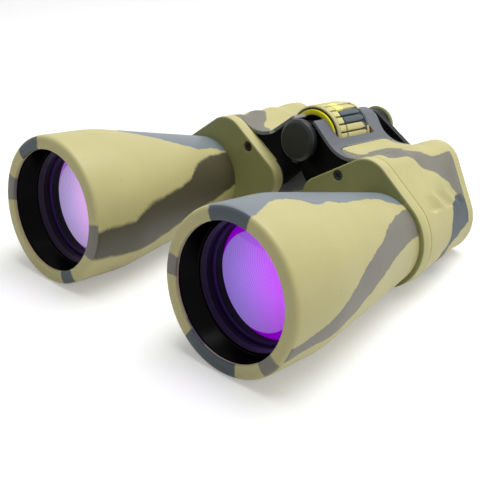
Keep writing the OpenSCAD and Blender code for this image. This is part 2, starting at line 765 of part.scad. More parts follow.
module ocular_barrel() at(eye_at) turned([
    [field_lens_r - lens_shoulder, slider_front], [slider_r, slider_front], [slider_r, slider_back],
    [ocular_r, slider_back], [ocular_r, neck_back], [eye_lens_r + seat_gap, neck_back],
    [eye_lens_r + seat_gap, eye_shoulder], [eye_lens_r - lens_shoulder, eye_shoulder],
    [eye_lens_r - lens_shoulder, field_stop], [field_lens_r + seat_gap, field_stop],
    [field_lens_r + seat_gap, slider_front + slider_wall],
    [field_lens_r - lens_shoulder, slider_front + slider_wall]
]);

module field_lens() at(eye_at)
    lens(field_lens_r, slider_front + slider_wall + ocular_bulge, field_stop - ocular_bulge - skin_gap,
        ocular_bulge, ocular_bulge);

module eye_lens() at(eye_at)
    lens(eye_lens_r, eye_shoulder + skin_gap, eye_shoulder + skin_gap + eye_lens_edge,
        ocular_bulge, ocular_bulge);

module ring_blank(bore) at(eye_at) turned([
    [bore, ring_front], [ring_r - 0.6, ring_front], [ring_r, ring_front + 0.6],
    [ring_r, ring_back - 0.6], [ring_r - 0.6, ring_back], [bore, ring_back]
]);

module eyecup() at(eye_at) turned([
    [ocular_r + seat_gap, eyecup_front], [eyecup_r - 1.2, eyecup_front],
    [eyecup_r - 0.7, eyecup_front + 0.5], [eyecup_r - 0.7, eyecup_front + 3.4],
    [eyecup_r - 1.4, eyecup_front + 4.1],
    [eyecup_r - 1.4, eyecup_front + 5], [eyecup_r - 0.6, eyecup_front + 6.2], [eyecup_r, eyecup_back - 1.3],
    [eyecup_r - 0.3, eyecup_back - 0.3], [eyecup_r - 0.8, eyecup_back],
    [eyecup_r - eyecup_wall, eyecup_back - 0.5],
    [eyecup_r - eyecup_wall - 2.4, neck_back + 1.2], [eye_lens_r - lens_shoulder, neck_back + 1.2],
    [eye_lens_r - lens_shoulder, neck_back], [ocular_r + seat_gap, neck_back]
]);

// Left half

module left_objective_barrel() color([0.72, 0.68, 0.5]) objective_barrel();

module left_lens_cell() color([0.1, 0.1, 0.11]) lens_cell();

module left_lens_ring() color([0.08, 0.08, 0.09]) lens_ring();

module left_objective_crown() color([0.5, 0.3, 0.8]) objective_crown();

module left_objective_flint() color([0.6, 0.62, 0.75]) objective_flint();

module left_front_cover() color([0.4, 0.42, 0.26]) front_cover();

module left_rear_cover() color([0.4, 0.42, 0.26]) rear_cover();

module left_cover_screws() color([0.08, 0.08, 0.08]) cover_screws();

module left_prism_housing() color([0.12, 0.12, 0.13]) prism_housing(
    [[wing_front, left_front_end, pin_r + seat_gap], [left_rear_start, left_rear_end, sleeve_r + seat_gap]],
    [[left_front_end, right_front_end + 1], [right_rear_start - 1, left_rear_start]],
    left_lug_r, right_lug_r, slope_angle - 6, front_knuckle_r + gap
);

module left_armour() color([0.7, 0.67, 0.48]) armour();

module left_saddle() color([0.47, 0.49, 0.52]) {
    wing_skin();
    front_arm_shell();
    knuckle_shell(rear_knuckle_r, window_back, skin_back + shell_tail, rear_shell_end);
}

module left_prism_shelf() color([0.15, 0.15, 0.16]) prism_shelf();

module left_front_prism() color([0.75, 0.82, 0.85]) front_prism();

module left_rear_prism() color([0.75, 0.82, 0.85]) rear_prism();

module left_prism_straps() color([0.6, 0.6, 0.58]) prism_straps();

module left_eyepiece_guide() color([0.1, 0.1, 0.11]) eyepiece_guide();

module left_bridge_arm() color([0.2, 0.2, 0.22])
    bridge_arm(arm_front, left_arm_back, tube_r + seat_gap, ocular_r + seat_gap);

module left_ocular_barrel() color([0.12, 0.12, 0.13]) ocular_barrel();

module left_field_lens() color([0.7, 0.8, 0.85]) field_lens();

module left_eye_lens() color([0.7, 0.75, 0.85]) eye_lens();

module left_trim_ring() color([0.1, 0.1, 0.1]) ring_blank(ocular_r + seat_gap);

module left_eyecup() color([0.06, 0.06, 0.06]) eyecup();

// Right half

module right_objective_barrel() mirrored() left_objective_barrel();

module right_lens_cell() mirrored() left_lens_cell();

module right_lens_ring() mirrored() left_lens_ring();

module right_objective_crown() mirrored() left_objective_crown();

module right_objective_flint() mirrored() left_objective_flint();

module right_front_cover() mirrored() left_front_cover();

module right_rear_cover() mirrored() left_rear_cover();

module right_cover_screws() mirrored() left_cover_screws();

module right_prism_housing() color([0.12, 0.12, 0.13]) mirrored() prism_housing(
    [
        [right_front_start, right_front_end, pin_r + run_gap],
        [right_rear_start, right_rear_end, sleeve_r + run_gap]
    ],
    [[wing_front - 1, right_front_start], [right_rear_end, left_rear_end + 1]],
    right_lug_r, left_lug_r, right_arm_angle, front_knuckle_r + gap
);

module right_armour() mirrored() left_armour();

module right_saddle() color([0.47, 0.49, 0.52]) mirrored() {
    difference() {
        wing_skin();
        rod(front_knuckle_r + gap, front_arm_back, skin_back + shell_tail + 1);
    }
    front_arm_shell();
}

module right_prism_shelf() mirrored() left_prism_shelf();

module right_front_prism() mirrored() left_front_prism();

module right_rear_prism() mirrored() left_rear_prism();

module right_prism_straps() mirrored() left_prism_straps();

module right_eyepiece_guide() mirrored() left_eyepiece_guide();

module right_bridge_arm() color([0.2, 0.2, 0.22]) mirrored()
    bridge_arm(right_arm_front, collar_back, tube_r + run_gap, ocular_r + run_gap);

module right_ocular_barrel() mirrored() left_ocular_barrel();

module right_field_lens() mirrored() left_field_lens();

module right_eye_lens() mirrored() left_eye_lens();

module right_dioptre_ring() color([0.1, 0.1, 0.1]) mirrored() difference() {
    ring_blank(ocular_r + run_gap);
    at(eye_at) for (i = [1:ring_grooves]) rotate([0, i * 360 / ring_grooves, 0])
        translate([ring_r + 0.3, 0, 0]) rod(0.7, ring_front + 0.9, ring_back - 0.9);
}

module right_eyecup() mirrored() left_eyecup();

// Hinge, focus and bridge

module tripod_post() color([0.3, 0.3, 0.31]) difference() {
    union() {
        rod(post_head_r, 0, wing_front);
        rod(pin_r, wing_front - EPS, post_end);
    }
    rod(socket_r, -1, socket_depth);
    rod(journal_r + run_gap, post_end - journal_len - gap, post_end + 1);
}

module tripod_cap() color([0.07, 0.07, 0.07]) {
    difference() {
        union() {
            turned([
                [0, -gap - cap_front_t], [cap_r - 0.7, -gap - cap_front_t],
                [cap_r, -gap - cap_front_t + 0.7],
                [cap_r, cap_back], [0, cap_back]
            ]);
            translate([-1.5, -gap - 1.4, -cap_r - 0.6]) cube([3, 1.4, 2]);
        }
        rod(post_head_r + run_gap, -gap, cap_back + 1);
    }
}

module hinge_washers() color([0.55, 0.55, 0.55]) {
    tube(right_lug_r - 0.3, pin_r + seat_gap, left_front_end, left_front_end + washer_t);
    tube(right_lug_r - 0.3, sleeve_r + seat_gap, left_rear_start - washer_t, left_rear_start);
}

module hinge_sleeve() color([0.35, 0.35, 0.36]) difference() {
    union() {
        rod(sleeve_r, wheel_back + gap, left_rear_end + EPS);
        rod(sleeve_r + 1.2, left_rear_end, left_rear_end + sleeve_flange_t);
    }
    rod(sleeve_bore_r, wheel_back, left_rear_end + sleeve_flange_t + 1);
}

module focus_wheel_core() color([0.15, 0.13, 0.12]) {
    difference() {
        rod(core_r, wheel_front, wheel_back);
        rod(recess_r, wheel_front - 1, recess_floor);
        rod(screw_r + seat_gap, wheel_back - 10, wheel_back + 1);
    }
    rod(journal_r, recess_floor - gap - journal_len, recess_floor + EPS);
    tube(sleeve_bore_r - run_gap, screw_r + seat_gap, wheel_back - EPS, wheel_back + rear_journal_len);
}

module focus_wheel_tyre() color([0.7, 0.67, 0.48]) difference() {
    turned([
        [core_r + seat_gap, wheel_front], [wheel_r - 0.5, wheel_front],
        [wheel_r, wheel_front + 0.9], [wheel_r, wheel_back - 1.3],
        [wheel_r - 0.6, wheel_back], [core_r + seat_gap, wheel_back]
    ]);
    for (i = [0:ridge_count - 1]) rotate([0, -(4.5 + i * 360 / ridge_count), 0])
        translate([wheel_r - groove_depth, wheel_front + wheel_rim, -groove_w / 2])
            cube([groove_depth + 1, wheel_len - wheel_rim * 2 - 0.6, groove_w]);
    tube(wheel_r + 1, wheel_r - groove_depth, wheel_front + wheel_rim + block_len,
        wheel_front + wheel_rim + block_len + groove_w);
}

module focus_index_ring() color([0.85, 0.75, 0.1])
    tube(core_r, core_r - index_w, wheel_front - index_h, wheel_front);

module drive_screw() color([0.7, 0.6, 0.35]) rod(screw_r, wheel_back - 10, screw_back);

module bridge_tube() color([0.4, 0.4, 0.41]) tube(tube_r, tube_bore_r, tube_front, end_cap_front);

module bridge_end_cap() color([0.4, 0.42, 0.26]) {
    turned([
        [0, end_cap_front], [end_cap_r - 0.2, end_cap_front], [end_cap_r, end_cap_front + 0.3],
        [end_cap_r - 0.8, end_cap_front + end_cap_len - 1],
        [end_cap_r - 1.8, end_cap_front + end_cap_len], [0, end_cap_front + end_cap_len]
    ]);
    rod(tube_bore_r - seat_gap, end_cap_front - end_spigot, end_cap_front + EPS);
}

left_objective_barrel();
left_lens_cell();
left_lens_ring();
left_objective_crown();
left_objective_flint();
left_front_cover();
left_rear_cover();
left_cover_screws();
left_prism_housing();
left_armour();
left_saddle();
left_prism_shelf();
left_front_prism();
left_rear_prism();
left_prism_straps();
left_eyepiece_guide();
left_bridge_arm();
left_ocular_barrel();
left_field_lens();
left_eye_lens();
left_trim_ring();
left_eyecup();
right_objective_barrel();
right_lens_cell();
right_lens_ring();
right_objective_crown();
right_objective_flint();
right_front_cover();
right_rear_cover();
right_cover_screws();
right_prism_housing();
right_armour();
right_saddle();
right_prism_shelf();
right_front_prism();
right_rear_prism();
right_prism_straps();
right_eyepiece_guide();
right_bridge_arm();
right_ocular_barrel();
right_field_lens();
right_eye_lens();
right_dioptre_ring();
right_eyecup();
tripod_post();
tripod_cap();
hinge_washers();
hinge_sleeve();
focus_wheel_core();
focus_wheel_tyre();
focus_index_ring();
drive_screw();
bridge_tube();
bridge_end_cap();
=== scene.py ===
"""Centre-focus binoculars with flared barrels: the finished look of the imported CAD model.

Sizes are in millimetres in the row frame: Y runs along the optical axes towards the eyepieces, Z is
up, and the origin lies on the hinge axis at the mouth of the tripod socket. The left half is at +X.
"""

import json
import logging
import math
from dataclasses import dataclass
from enum import Enum
from typing import Callable, Iterable, Sequence

import bmesh
import bpy
import numpy as np
from mathutils import Matrix, Vector

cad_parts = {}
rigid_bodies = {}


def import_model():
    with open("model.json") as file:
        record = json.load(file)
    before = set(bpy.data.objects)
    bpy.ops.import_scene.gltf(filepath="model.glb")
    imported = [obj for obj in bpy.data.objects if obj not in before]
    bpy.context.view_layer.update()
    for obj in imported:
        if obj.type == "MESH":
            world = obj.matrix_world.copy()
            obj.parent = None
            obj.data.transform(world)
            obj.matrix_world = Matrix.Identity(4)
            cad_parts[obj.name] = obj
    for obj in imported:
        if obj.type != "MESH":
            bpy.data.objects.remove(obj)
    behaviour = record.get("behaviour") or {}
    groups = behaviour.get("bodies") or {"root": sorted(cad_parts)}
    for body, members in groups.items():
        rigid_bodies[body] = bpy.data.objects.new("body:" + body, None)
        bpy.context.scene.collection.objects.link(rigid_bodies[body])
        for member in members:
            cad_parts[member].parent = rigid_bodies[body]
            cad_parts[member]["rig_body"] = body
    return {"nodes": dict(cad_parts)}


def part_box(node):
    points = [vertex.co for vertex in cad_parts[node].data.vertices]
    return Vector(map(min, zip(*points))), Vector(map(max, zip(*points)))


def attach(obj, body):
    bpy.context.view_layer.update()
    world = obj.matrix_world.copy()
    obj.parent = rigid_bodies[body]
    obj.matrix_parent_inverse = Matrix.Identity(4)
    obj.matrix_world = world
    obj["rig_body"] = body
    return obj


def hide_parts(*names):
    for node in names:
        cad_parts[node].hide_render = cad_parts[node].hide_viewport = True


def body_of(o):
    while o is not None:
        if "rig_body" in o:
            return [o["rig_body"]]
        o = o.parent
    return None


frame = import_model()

LOG = logging.getLogger("binoculars")
MM = 0.001
STEPS = 192
Socket = bpy.types.NodeSocket
Value = float | tuple | Socket


class Half(Enum):
    """One half of the binoculars, by the user's hand."""

    LEFT = "left"
    RIGHT = "right"

    @property
    def sign(self) -> int:
        """1 for the left half at +X, -1 for the right half."""
        return 1 if self is Half.LEFT else -1

    @property
    def body(self) -> str:
        """Name of the CAD body that carries this half."""
        return f"{self.value}_half"

    def named(self, piece: str) -> str:
        """Name of this half's CAD node or piece."""
        return f"{self.value}_{piece}"


class Paint(Enum):
    """Linear colours of the camouflage coat."""

    TAN = (0.54, 0.495, 0.225)
    BLUE_GREY = (0.19, 0.225, 0.25)
    SLATE = (0.06, 0.082, 0.094)
    BROWN_GREY = (0.195, 0.185, 0.15)
    # Brown darkened with painted shade, for the side of the right barrel that faces the other barrel.
    BROWN_IN_PAINTED_SHADE = (0.075, 0.066, 0.038)
    OLIVE = (0.235, 0.24, 0.085)


# ---------------------------------------------------------------- meshes


@dataclass
class Shape:
    """Points in millimetres and the faces between them."""

    points: np.ndarray
    faces: list

    def joined(self, other: "Shape") -> "Shape":
        """Both shapes as one."""
        shift = len(self.points)
        moved = [tuple(i + shift for i in face) for face in other.faces]
        return Shape(np.vstack([self.points, other.points]), self.faces + moved)

    def turned_to(self, half: Half) -> "Shape":
        """The shape mirrored to the given half, if it is the right one."""
        if half is Half.LEFT:
            return self
        return Shape(self.points * np.array([-1.0, 1.0, 1.0]), [face[::-1] for face in self.faces])


def skin(loops: Sequence[np.ndarray], closed: bool = True, ring: bool = False) -> Shape:
    """Quads between neighbouring rows of points.

    Args:
        loops: Rows with the same number of points, each (n, 3).
        closed: Whether each row closes on itself.
        ring: Whether the last row joins the first.

    Returns:
        The shape of all rows.
    """
    rows, count = len(loops), len(loops[0])
    points = np.vstack(loops)
    faces = []
    for i in range(rows if ring else rows - 1):
        a, b = i * count, ((i + 1) % rows) * count
        for j in range(count if closed else count - 1):
            k = (j + 1) % count
            faces.append((a + j, a + k, b + k, b + j))
    return Shape(points, faces)


def filleted(corners: Sequence[tuple], steps: int = 5) -> list:
    """A closed outline with rounded corners.

    Args:
        corners: Corners (radius, y, rounding).
        steps: Points on each rounding.

    Returns:
        Points (radius, y) of the outline.
    """
    out = []
    count = len(corners)
    for i, (r, y, fillet) in enumerate(corners):
        here = np.array([r, y])
        before = np.array(corners[i - 1][:2]) - here
        after = np.array(corners[(i + 1) % count][:2]) - here
        room = 0.48 * min(np.linalg.norm(before), np.linalg.norm(after))
        cut = min(fillet, room)
        if cut < 1e-4:
            out.append((r, y))
            continue
        start = here + before / np.linalg.norm(before) * cut
        end = here + after / np.linalg.norm(after) * cut
        for t in np.linspace(0, 1, steps):
            out.append(tuple((1 - t) ** 2 * start + 2 * t * (1 - t) * here + t * t * end))
    return out


def revolved(outline: Sequence[tuple], centre: tuple, steps: int = STEPS) -> Shape:
    """A closed outline of (radius, y) turned about an axis along Y.

    Args:
        outline: Points (radius, y) of the closed outline.
        centre: Place (x, z) of the axis.
        steps: Faces around the axis.

    Returns:
        The turned shape.
    """
    angle = np.linspace(0, 2 * math.pi, steps, endpoint=False)
    loops = [
        np.stack([centre[0] + r * np.cos(angle), np.full(steps, y), centre[1] + r * np.sin(angle)], 1)
        for r, y in outline
    ]
    return skin(loops, ring=True)


def as_object(name: str, shape: Shape, material: bpy.types.Material, sharp: float = 40.0) -> bpy.types.Object:
    """A clean mesh object from a shape.

    Args:
        name: Name of the object.
        shape: Closed shape, in millimetres.
        material: Finish of the whole object.
        sharp: Angle in degrees above which an edge stays sharp.

    Returns:
        The object, linked to the scene.
    """
    mesh = bpy.data.meshes.new(name)
    mesh.from_pydata((shape.points * MM).tolist(), [], shape.faces)
    cleaned(mesh)
    return linked(name, mesh, material, sharp)


def cleaned(mesh: bpy.types.Mesh) -> None:
    """Merges doubled points, drops empty faces and turns all faces outwards."""
    work = bmesh.new()
    work.from_mesh(mesh)
    bmesh.ops.remove_doubles(work, verts=work.verts, dist=2e-6)
    bmesh.ops.dissolve_degenerate(work, edges=work.edges, dist=1e-7)
    bmesh.ops.recalc_face_normals(work, faces=work.faces)
    work.to_mesh(mesh)
    work.free()


def linked(name: str, mesh: bpy.types.Mesh, material: bpy.types.Material, sharp: float) -> bpy.types.Object:
    """Links a mesh as a smooth-shaded object with one finish."""
    mesh.shade_smooth()
    mesh.set_sharp_from_angle(angle=math.radians(sharp))
    mesh.materials.clear()
    mesh.materials.append(material)
    obj = bpy.data.objects.new(name, mesh)
    bpy.context.scene.collection.objects.link(obj)
    return obj


def applied(obj: bpy.types.Object, sharp: float = 40.0) -> bpy.types.Object:
    """The object with its modifiers turned into plain mesh."""
    bpy.context.view_layer.update()
    evaluated = obj.evaluated_get(bpy.context.evaluated_depsgraph_get())
    mesh = bpy.data.meshes.new_from_object(evaluated)
    obj.modifiers.clear()
    obj.data = mesh
    mesh.shade_smooth()
    mesh.set_sharp_from_angle(angle=math.radians(sharp))
    return obj


def cut_by(obj: bpy.types.Object, shape: Shape, sharp: float = 40.0) -> bpy.types.Object:
    """The object with a closed shape taken out of it."""
    tool = as_object("cutter", shape, obj.data.materials[0])
    modifier = obj.modifiers.new("cut", "BOOLEAN")
    modifier.object, modifier.operation, modifier.solver = tool, "DIFFERENCE", "EXACT"
    applied(obj, sharp)
    bpy.data.objects.remove(tool)
    return obj


def placed(obj: bpy.types.Object, body: str, slot: str, *nodes: str) -> bpy.types.Object:
    """Puts a finished piece on its body and reports it.

    Args:
        obj: The finished piece.
        body: CAD body that it moves with.
        slot: Material slot of the record; not used.
        nodes: CAD nodes that it stands for.

    Returns:
        The piece.
    """
    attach(obj, body)
    if nodes:
        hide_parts(*nodes)
    LOG.info("%s: %d faces on %s", obj.name, len(obj.data.polygons), body)
    return obj


def smooth_copy(node: str, material: bpy.types.Material, sharp: float = 28.0) -> bpy.types.Object:
    """A smooth-shaded copy of a CAD node's mesh, which the copy then stands for."""
    source = frame["nodes"][node]
    mesh = source.data.copy()
    work = bmesh.new()
    work.from_mesh(mesh)
    bmesh.ops.remove_doubles(work, verts=work.verts, dist=2e-6)
    work.to_mesh(mesh)
    work.free()
    return linked(f"{node}_surface", mesh, material, sharp)


# ---------------------------------------------------------------- finishes


class Nodes:
    """Short calls that build one material's node tree."""

    def __init__(self, name: str) -> None:
        """Starts a material with an empty Principled shader."""
        self.material = bpy.data.materials.new(name)
        self.material.use_nodes = True
        self.tree = self.material.node_tree
        self.tree.nodes.clear()
        self.output = self.tree.nodes.new("ShaderNodeOutputMaterial")
        self.shader = self.tree.nodes.new("ShaderNodeBsdfPrincipled")
        self.tree.links.new(self.shader.outputs[0], self.output.inputs[0])
        coordinates = self.tree.nodes.new("ShaderNodeTexCoord")
        self.place = self.vector("MULTIPLY", coordinates.outputs["Object"], (1000.0, 1000.0, 1000.0))

    def feed(self, socket: Socket, value: Value) -> None:
        """Sets a socket to a number or colour, or links it."""
        if isinstance(value, bpy.types.NodeSocket):
            self.tree.links.new(value, socket)
        elif isinstance(value, tuple) and len(socket.default_value) == 4:
            socket.default_value = (*value, 1.0)
        else:
            socket.default_value = value

    def set(self, **values: Value) -> None:
        """Feeds the shader's inputs, named with underscores for spaces."""
        for name, value in values.items():
            self.feed(self.shader.inputs[name.replace("_", " ")], value)

    def vector(self, operation: str, first: Value, second: Value = (0.0, 0.0, 0.0)) -> Socket:
        """A vector operation's result."""
        node = self.tree.nodes.new("ShaderNodeVectorMath")
        node.operation = operation
        for socket, value in zip(node.inputs, (first, second)):
            if isinstance(value, bpy.types.NodeSocket):
                self.tree.links.new(value, socket)
            else:
                socket.default_value = value
        return node.outputs["Value"] if operation in ("LENGTH", "DOT_PRODUCT") else node.outputs[0]

    def scaled(self, first: Value, by: float) -> Socket:
        """A vector times a number."""
        return self.vector("MULTIPLY", first, (by, by, by))

    def math(self, operation: str, first: Value, second: Value = 0.0, third: Value = 0.0) -> Socket:
        """A number operation's result."""
        node = self.tree.nodes.new("ShaderNodeMath")
        node.operation = operation
        for socket, value in zip(node.inputs, (first, second, third)):
            self.feed(socket, value)
        return node.outputs[0]

    def parts(self, value: Socket) -> tuple:
        """The x, y and z of a vector."""
        node = self.tree.nodes.new("ShaderNodeSeparateXYZ")
        self.feed(node.inputs[0], value)
        return tuple(node.outputs)

    def combined(self, x: Value = 0.0, y: Value = 0.0, z: Value = 0.0) -> Socket:
        """A vector from three numbers."""
        node = self.tree.nodes.new("ShaderNodeCombineXYZ")
        for socket, value in zip(node.inputs, (x, y, z)):
            self.feed(socket, value)
        return node.outputs[0]

    def noise(
        self, size: float, detail: float = 3.0, at: Value | None = None, colour: bool = False
    ) -> Socket:
        """Noise with features of about the given size in millimetres."""
        node = self.tree.nodes.new("ShaderNodeTexNoise")
        self.feed(node.inputs["Vector"], self.place if at is None else at)
        node.inputs["Scale"].default_value = 1.0 / size
        node.inputs["Detail"].default_value = detail
        return node.outputs["Color" if colour else "Fac"]

    def step(self, value: Value, low: float, high: float) -> Socket:
        """Smooth step from 0 at low to 1 at high."""
        node = self.tree.nodes.new("ShaderNodeMapRange")
        node.interpolation_type = "SMOOTHSTEP"
        self.feed(node.inputs["Value"], value)
        falling = high < low
        node.inputs["From Min"].default_value = high if falling else low
        node.inputs["From Max"].default_value = low if falling else high
        node.inputs["To Min"].default_value = 1.0 if falling else 0.0
        node.inputs["To Max"].default_value = 0.0 if falling else 1.0
        return node.outputs["Result"]

    def band(self, value: Value, low: float, high: float, soft: float) -> Socket:
        """1 between low and high, 0 outside, with soft edges."""
        return self.math(
            "MULTIPLY", self.step(value, low - soft, low + soft), self.step(value, high + soft, high - soft)
        )

    def ranged(self, value: Value, low: float, high: float) -> Socket:
        """A share from 0 to 1 as a number from low to high."""
        return self.math("MULTIPLY_ADD", value, high - low, low)

    def curve(self, value: Value, points: Sequence[tuple], span: tuple) -> Socket:
        """A curve through points (place, value).

        Args:
            value: Place along the curve.
            points: Points in rising order of place.
            span: Lowest and highest value of the curve.

        Returns:
            The curve's value at the place.
        """
        first, last = points[0][0], points[-1][0]
        node = self.tree.nodes.new("ShaderNodeFloatCurve")
        line = node.mapping.curves[0]
        shares = [((p - first) / (last - first), (v - span[0]) / (span[1] - span[0])) for p, v in points]
        line.points[0].location, line.points[1].location = shares[0], shares[-1]
        for share in shares[1:-1]:
            line.points.new(*share)
        for point in line.points:
            point.handle_type = "AUTO_CLAMPED"
        node.mapping.update()
        place = self.math("MULTIPLY_ADD", value, 1.0 / (last - first), -first / (last - first))
        self.feed(node.inputs["Value"], self.math("MINIMUM", self.math("MAXIMUM", place, 0.0), 1.0))
        return self.ranged(node.outputs[0], *span)

    def mix(self, share: Value, first: Value, second: Value) -> Socket:
        """A blend of two colours."""
        node = self.tree.nodes.new("ShaderNodeMix")
        node.data_type = "RGBA"
        self.feed(node.inputs[0], share)
        self.feed(node.inputs[6], first)
        self.feed(node.inputs[7], second)
        return node.outputs[2]

    def tinted(self, colour: Value, by: Value) -> Socket:
        """A colour made lighter or darker by a factor."""
        return self.vector("MULTIPLY", colour, self.combined(by, by, by))

    def bump(self, height: Value, depth: float, normal: Socket | None = None) -> Socket:
        """A normal for a height of 0 to 1 that is depth millimetres deep."""
        node = self.tree.nodes.new("ShaderNodeBump")
        node.inputs["Strength"].default_value = 1.0
        node.inputs["Distance"].default_value = depth * MM
        self.feed(node.inputs["Height"], height)
        if normal is not None:
            self.tree.links.new(normal, node.inputs["Normal"])
        return node.outputs[0]

    def worn(self, radius: float = 0.5) -> Socket:
        """How far a point lies on an outer edge, from the mesh's own curvature."""
        node = self.tree.nodes.new("ShaderNodeNewGeometry")
        return self.step(node.outputs["Pointiness"], 0.52, 0.52 + 0.1 * radius)


@dataclass(frozen=True)
class PlainFinish:
    """A finish of one colour with fine grain, mottling and worn edges.

    Colours are linear, and grain is the size of the surface's texture in millimetres.
    """

    name: str
    colour: tuple
    roughness: float = 0.5
    metallic: float = 0.0
    grain: float = 0.35
    grain_depth: float = 0.02
    mottle: float = 0.12
    edge: float = 1.35
    shine: float = 0.5

    def make(self) -> bpy.types.Material:
        """Builds the material."""
        n = Nodes(self.name)
        cloudy = n.noise(9.0, 4.0)
        fine = n.noise(self.grain, 2.0)
        shade = n.ranged(cloudy, 1.0 - self.mottle, 1.0 + self.mottle)
        shade = n.math("MULTIPLY", shade, n.ranged(fine, 0.94, 1.06))
        shade = n.math("MULTIPLY", shade, n.ranged(n.worn(), 1.0, self.edge))
        n.set(
            Base_Color=n.tinted(self.colour, shade),
            Roughness=n.ranged(
                n.noise(2.5, 4.0), max(self.roughness - 0.08, 0.03), min(self.roughness + 0.08, 1.0)
            ),
            Metallic=self.metallic,
            Normal=n.bump(fine, self.grain_depth),
            Specular_IOR_Level=self.shine,
        )
        return n.material


@dataclass(frozen=True)
class Ribbon:
    """A patch of camouflage between two curves.

    The patch lies where the second coordinate is between the low and the high curve, which are
    points (first coordinate, second coordinate).
    """

    paint: Paint
    low: tuple
    high: tuple
    feather: float = 0.7

    def mask(self, n: Nodes, along: Value, across: Value, span: tuple) -> Socket:
        """1 inside the patch.

        Args:
            n: Node tree of the material.
            along: First coordinate.
            across: Second coordinate.
            span: Lowest and highest second coordinate of any curve.

        Returns:
            The mask.
        """
        first = max(self.low[0][0], self.high[0][0])
        last = min(self.low[-1][0], self.high[-1][0])
        above = n.step(
            n.math("SUBTRACT", across, n.curve(along, self.low, span)), -self.feather, self.feather
        )
        below = n.step(
            n.math("SUBTRACT", n.curve(along, self.high, span), across), -self.feather, self.feather
        )
        inside = n.band(along, first, last, self.feather)
        return n.math("MULTIPLY", n.math("MULTIPLY", above, below), inside)


def camouflage(
    n: Nodes, along: Value, across: Value, span: tuple, ribbons: Iterable[Ribbon], base: Value
) -> Socket:
    """The coat's colour with all its patches."""
    colour = base
    for ribbon in ribbons:
        colour = n.mix(ribbon.mask(n, along, across, span), colour, ribbon.paint.value)
    return colour


def sprayed(n: Nodes, place: Value, wide: tuple, fine: tuple) -> Socket:
    """A place moved about by wide and by fine noise, each a (size, reach), as a spray's edge is."""
    moves = [
        n.scaled(n.vector("SUBTRACT", n.noise(size, 3.0, colour=True), (0.5, 0.5, 0.5)), reach)
        for size, reach in (wide, fine)
    ]
    return n.vector("ADD", place, n.vector("ADD", *moves))


def cloudy_tan(n: Nodes, size: float, lightest: float) -> Socket:
    """The coat's ground colour, from a little darker to its lightest tone in soft clouds."""
    dark, light = (tuple(c * by for c in Paint.TAN.value) for by in (0.96, lightest))
    return n.mix(n.noise(size, 2.0), dark, light)


def coat(n: Nodes, colour: Socket, sheen: float = 0.42) -> bpy.types.Material:
    """Finishes a painted coat: cloudy tone, fine specks, satin gloss and a soft grain."""
    fine = n.noise(0.45, 2.0)
    cloudy = n.noise(22.0, 3.0)
    specks = n.step(n.noise(1.3, 1.0), 0.74, 0.78)
    shade = n.math("MULTIPLY", n.ranged(cloudy, 0.90, 1.08), n.ranged(fine, 0.965, 1.035))
    shade = n.math("MULTIPLY", shade, n.ranged(specks, 1.0, 0.86))
    shade = n.math("MULTIPLY", shade, n.ranged(n.worn(0.7), 1.0, 1.22))
    n.set(
        Base_Color=n.tinted(colour, shade),
        Roughness=n.ranged(n.noise(5.0, 4.0), sheen - 0.05, sheen + 0.1),
        Normal=n.bump(n.math("ADD", n.math("MULTIPLY", fine, 0.6), n.noise(3.5, 2.0)), 0.035),
        Specular_IOR_Level=0.42,
    )
    return n.material


@dataclass(frozen=True)
class BarrelCamouflage:
    """Camouflage of one barrel, by the angle around its axis in degrees and the place along Y."""

    name: str
    centre: tuple
    face: tuple
    body: tuple
    lip_back: float = -100.0

    def make(self) -> bpy.types.Material:
        """Builds the material."""
        n = Nodes(self.name)
        x, y, z = n.parts(sprayed(n, n.place, (7.0, 2.4), (1.6, 1.3)))
        angle = n.math(
            "ARCTAN2", n.math("SUBTRACT", z, self.centre[1]), n.math("SUBTRACT", x, self.centre[0])
        )
        degrees = n.math("MULTIPLY", angle, 180.0 / math.pi)
        turned = n.math("ADD", degrees, n.math("MULTIPLY", n.math("LESS_THAN", degrees, -150.0), 360.0))
        tan = cloudy_tan(n, 30.0, 1.04)
        body = camouflage(n, y, turned, (-160.0, 220.0), self.body, tan)
        face: Socket = tan
        for paint, low, high in self.face:
            face = n.mix(n.band(turned, low, high, 0.9), face, paint.value)
        plain_y = n.parts(n.place)[1]
        front = n.step(plain_y, self.lip_back + 0.12, self.lip_back - 0.12)
        return coat(n, n.mix(front, body, face))


@dataclass(frozen=True)
class ArmourCamouflage:
    """Camouflage of one housing, by the length around its outline and the place along Y, with painted shade:
    the underside between the halves is near black.
    """

    name: str
    patches: tuple

    def make(self) -> bpy.types.Material:
        """Builds the material."""
        n = Nodes(self.name)
        lay = n.tree.nodes.new("ShaderNodeAttribute")
        lay.attribute_name = "lay"
        along, across, _ = n.parts(sprayed(n, lay.outputs["Vector"], (6.0, 1.6), (1.5, 0.7)))
        tan = cloudy_tan(n, 26.0, 1.03)
        colour = camouflage(n, along, across, (-20.0, 70.0), self.patches, tan)
        x, _, z = n.parts(n.place)
        # Painted shade: the underside near the middle, where shade falls between the two halves, is painted
        # near black.
        inner = n.math("MULTIPLY", n.step(n.math("ABSOLUTE", x), 15.0, 13.5), n.step(z, -11.0, -13.0))
        return coat(n, n.mix(inner, colour, (0.01, 0.01, 0.01)), sheen=0.5)


@dataclass(frozen=True)
class CoverCoat:
    """Olive face and khaki edge of a cover plate, told apart by the place along Y; the face's darker olive is
    partly its own tint and partly painted shade.
    """

    name: str
    face_y: float
    out: int

    def make(self) -> bpy.types.Material:
        """Builds the material."""
        n = Nodes(self.name)
        y = n.parts(n.place)[1]
        depth = n.math("MULTIPLY", n.math("SUBTRACT", y, self.face_y), float(-self.out))
        # The face is darker than the edge partly from painted shade, standing for the occlusion that the face
        # gets.
        edge = n.step(depth, 0.35, 0.8)
        khaki = tuple(c * 0.98 for c in Paint.TAN.value)
        return coat(n, n.mix(edge, Paint.OLIVE.value, khaki), sheen=0.46)


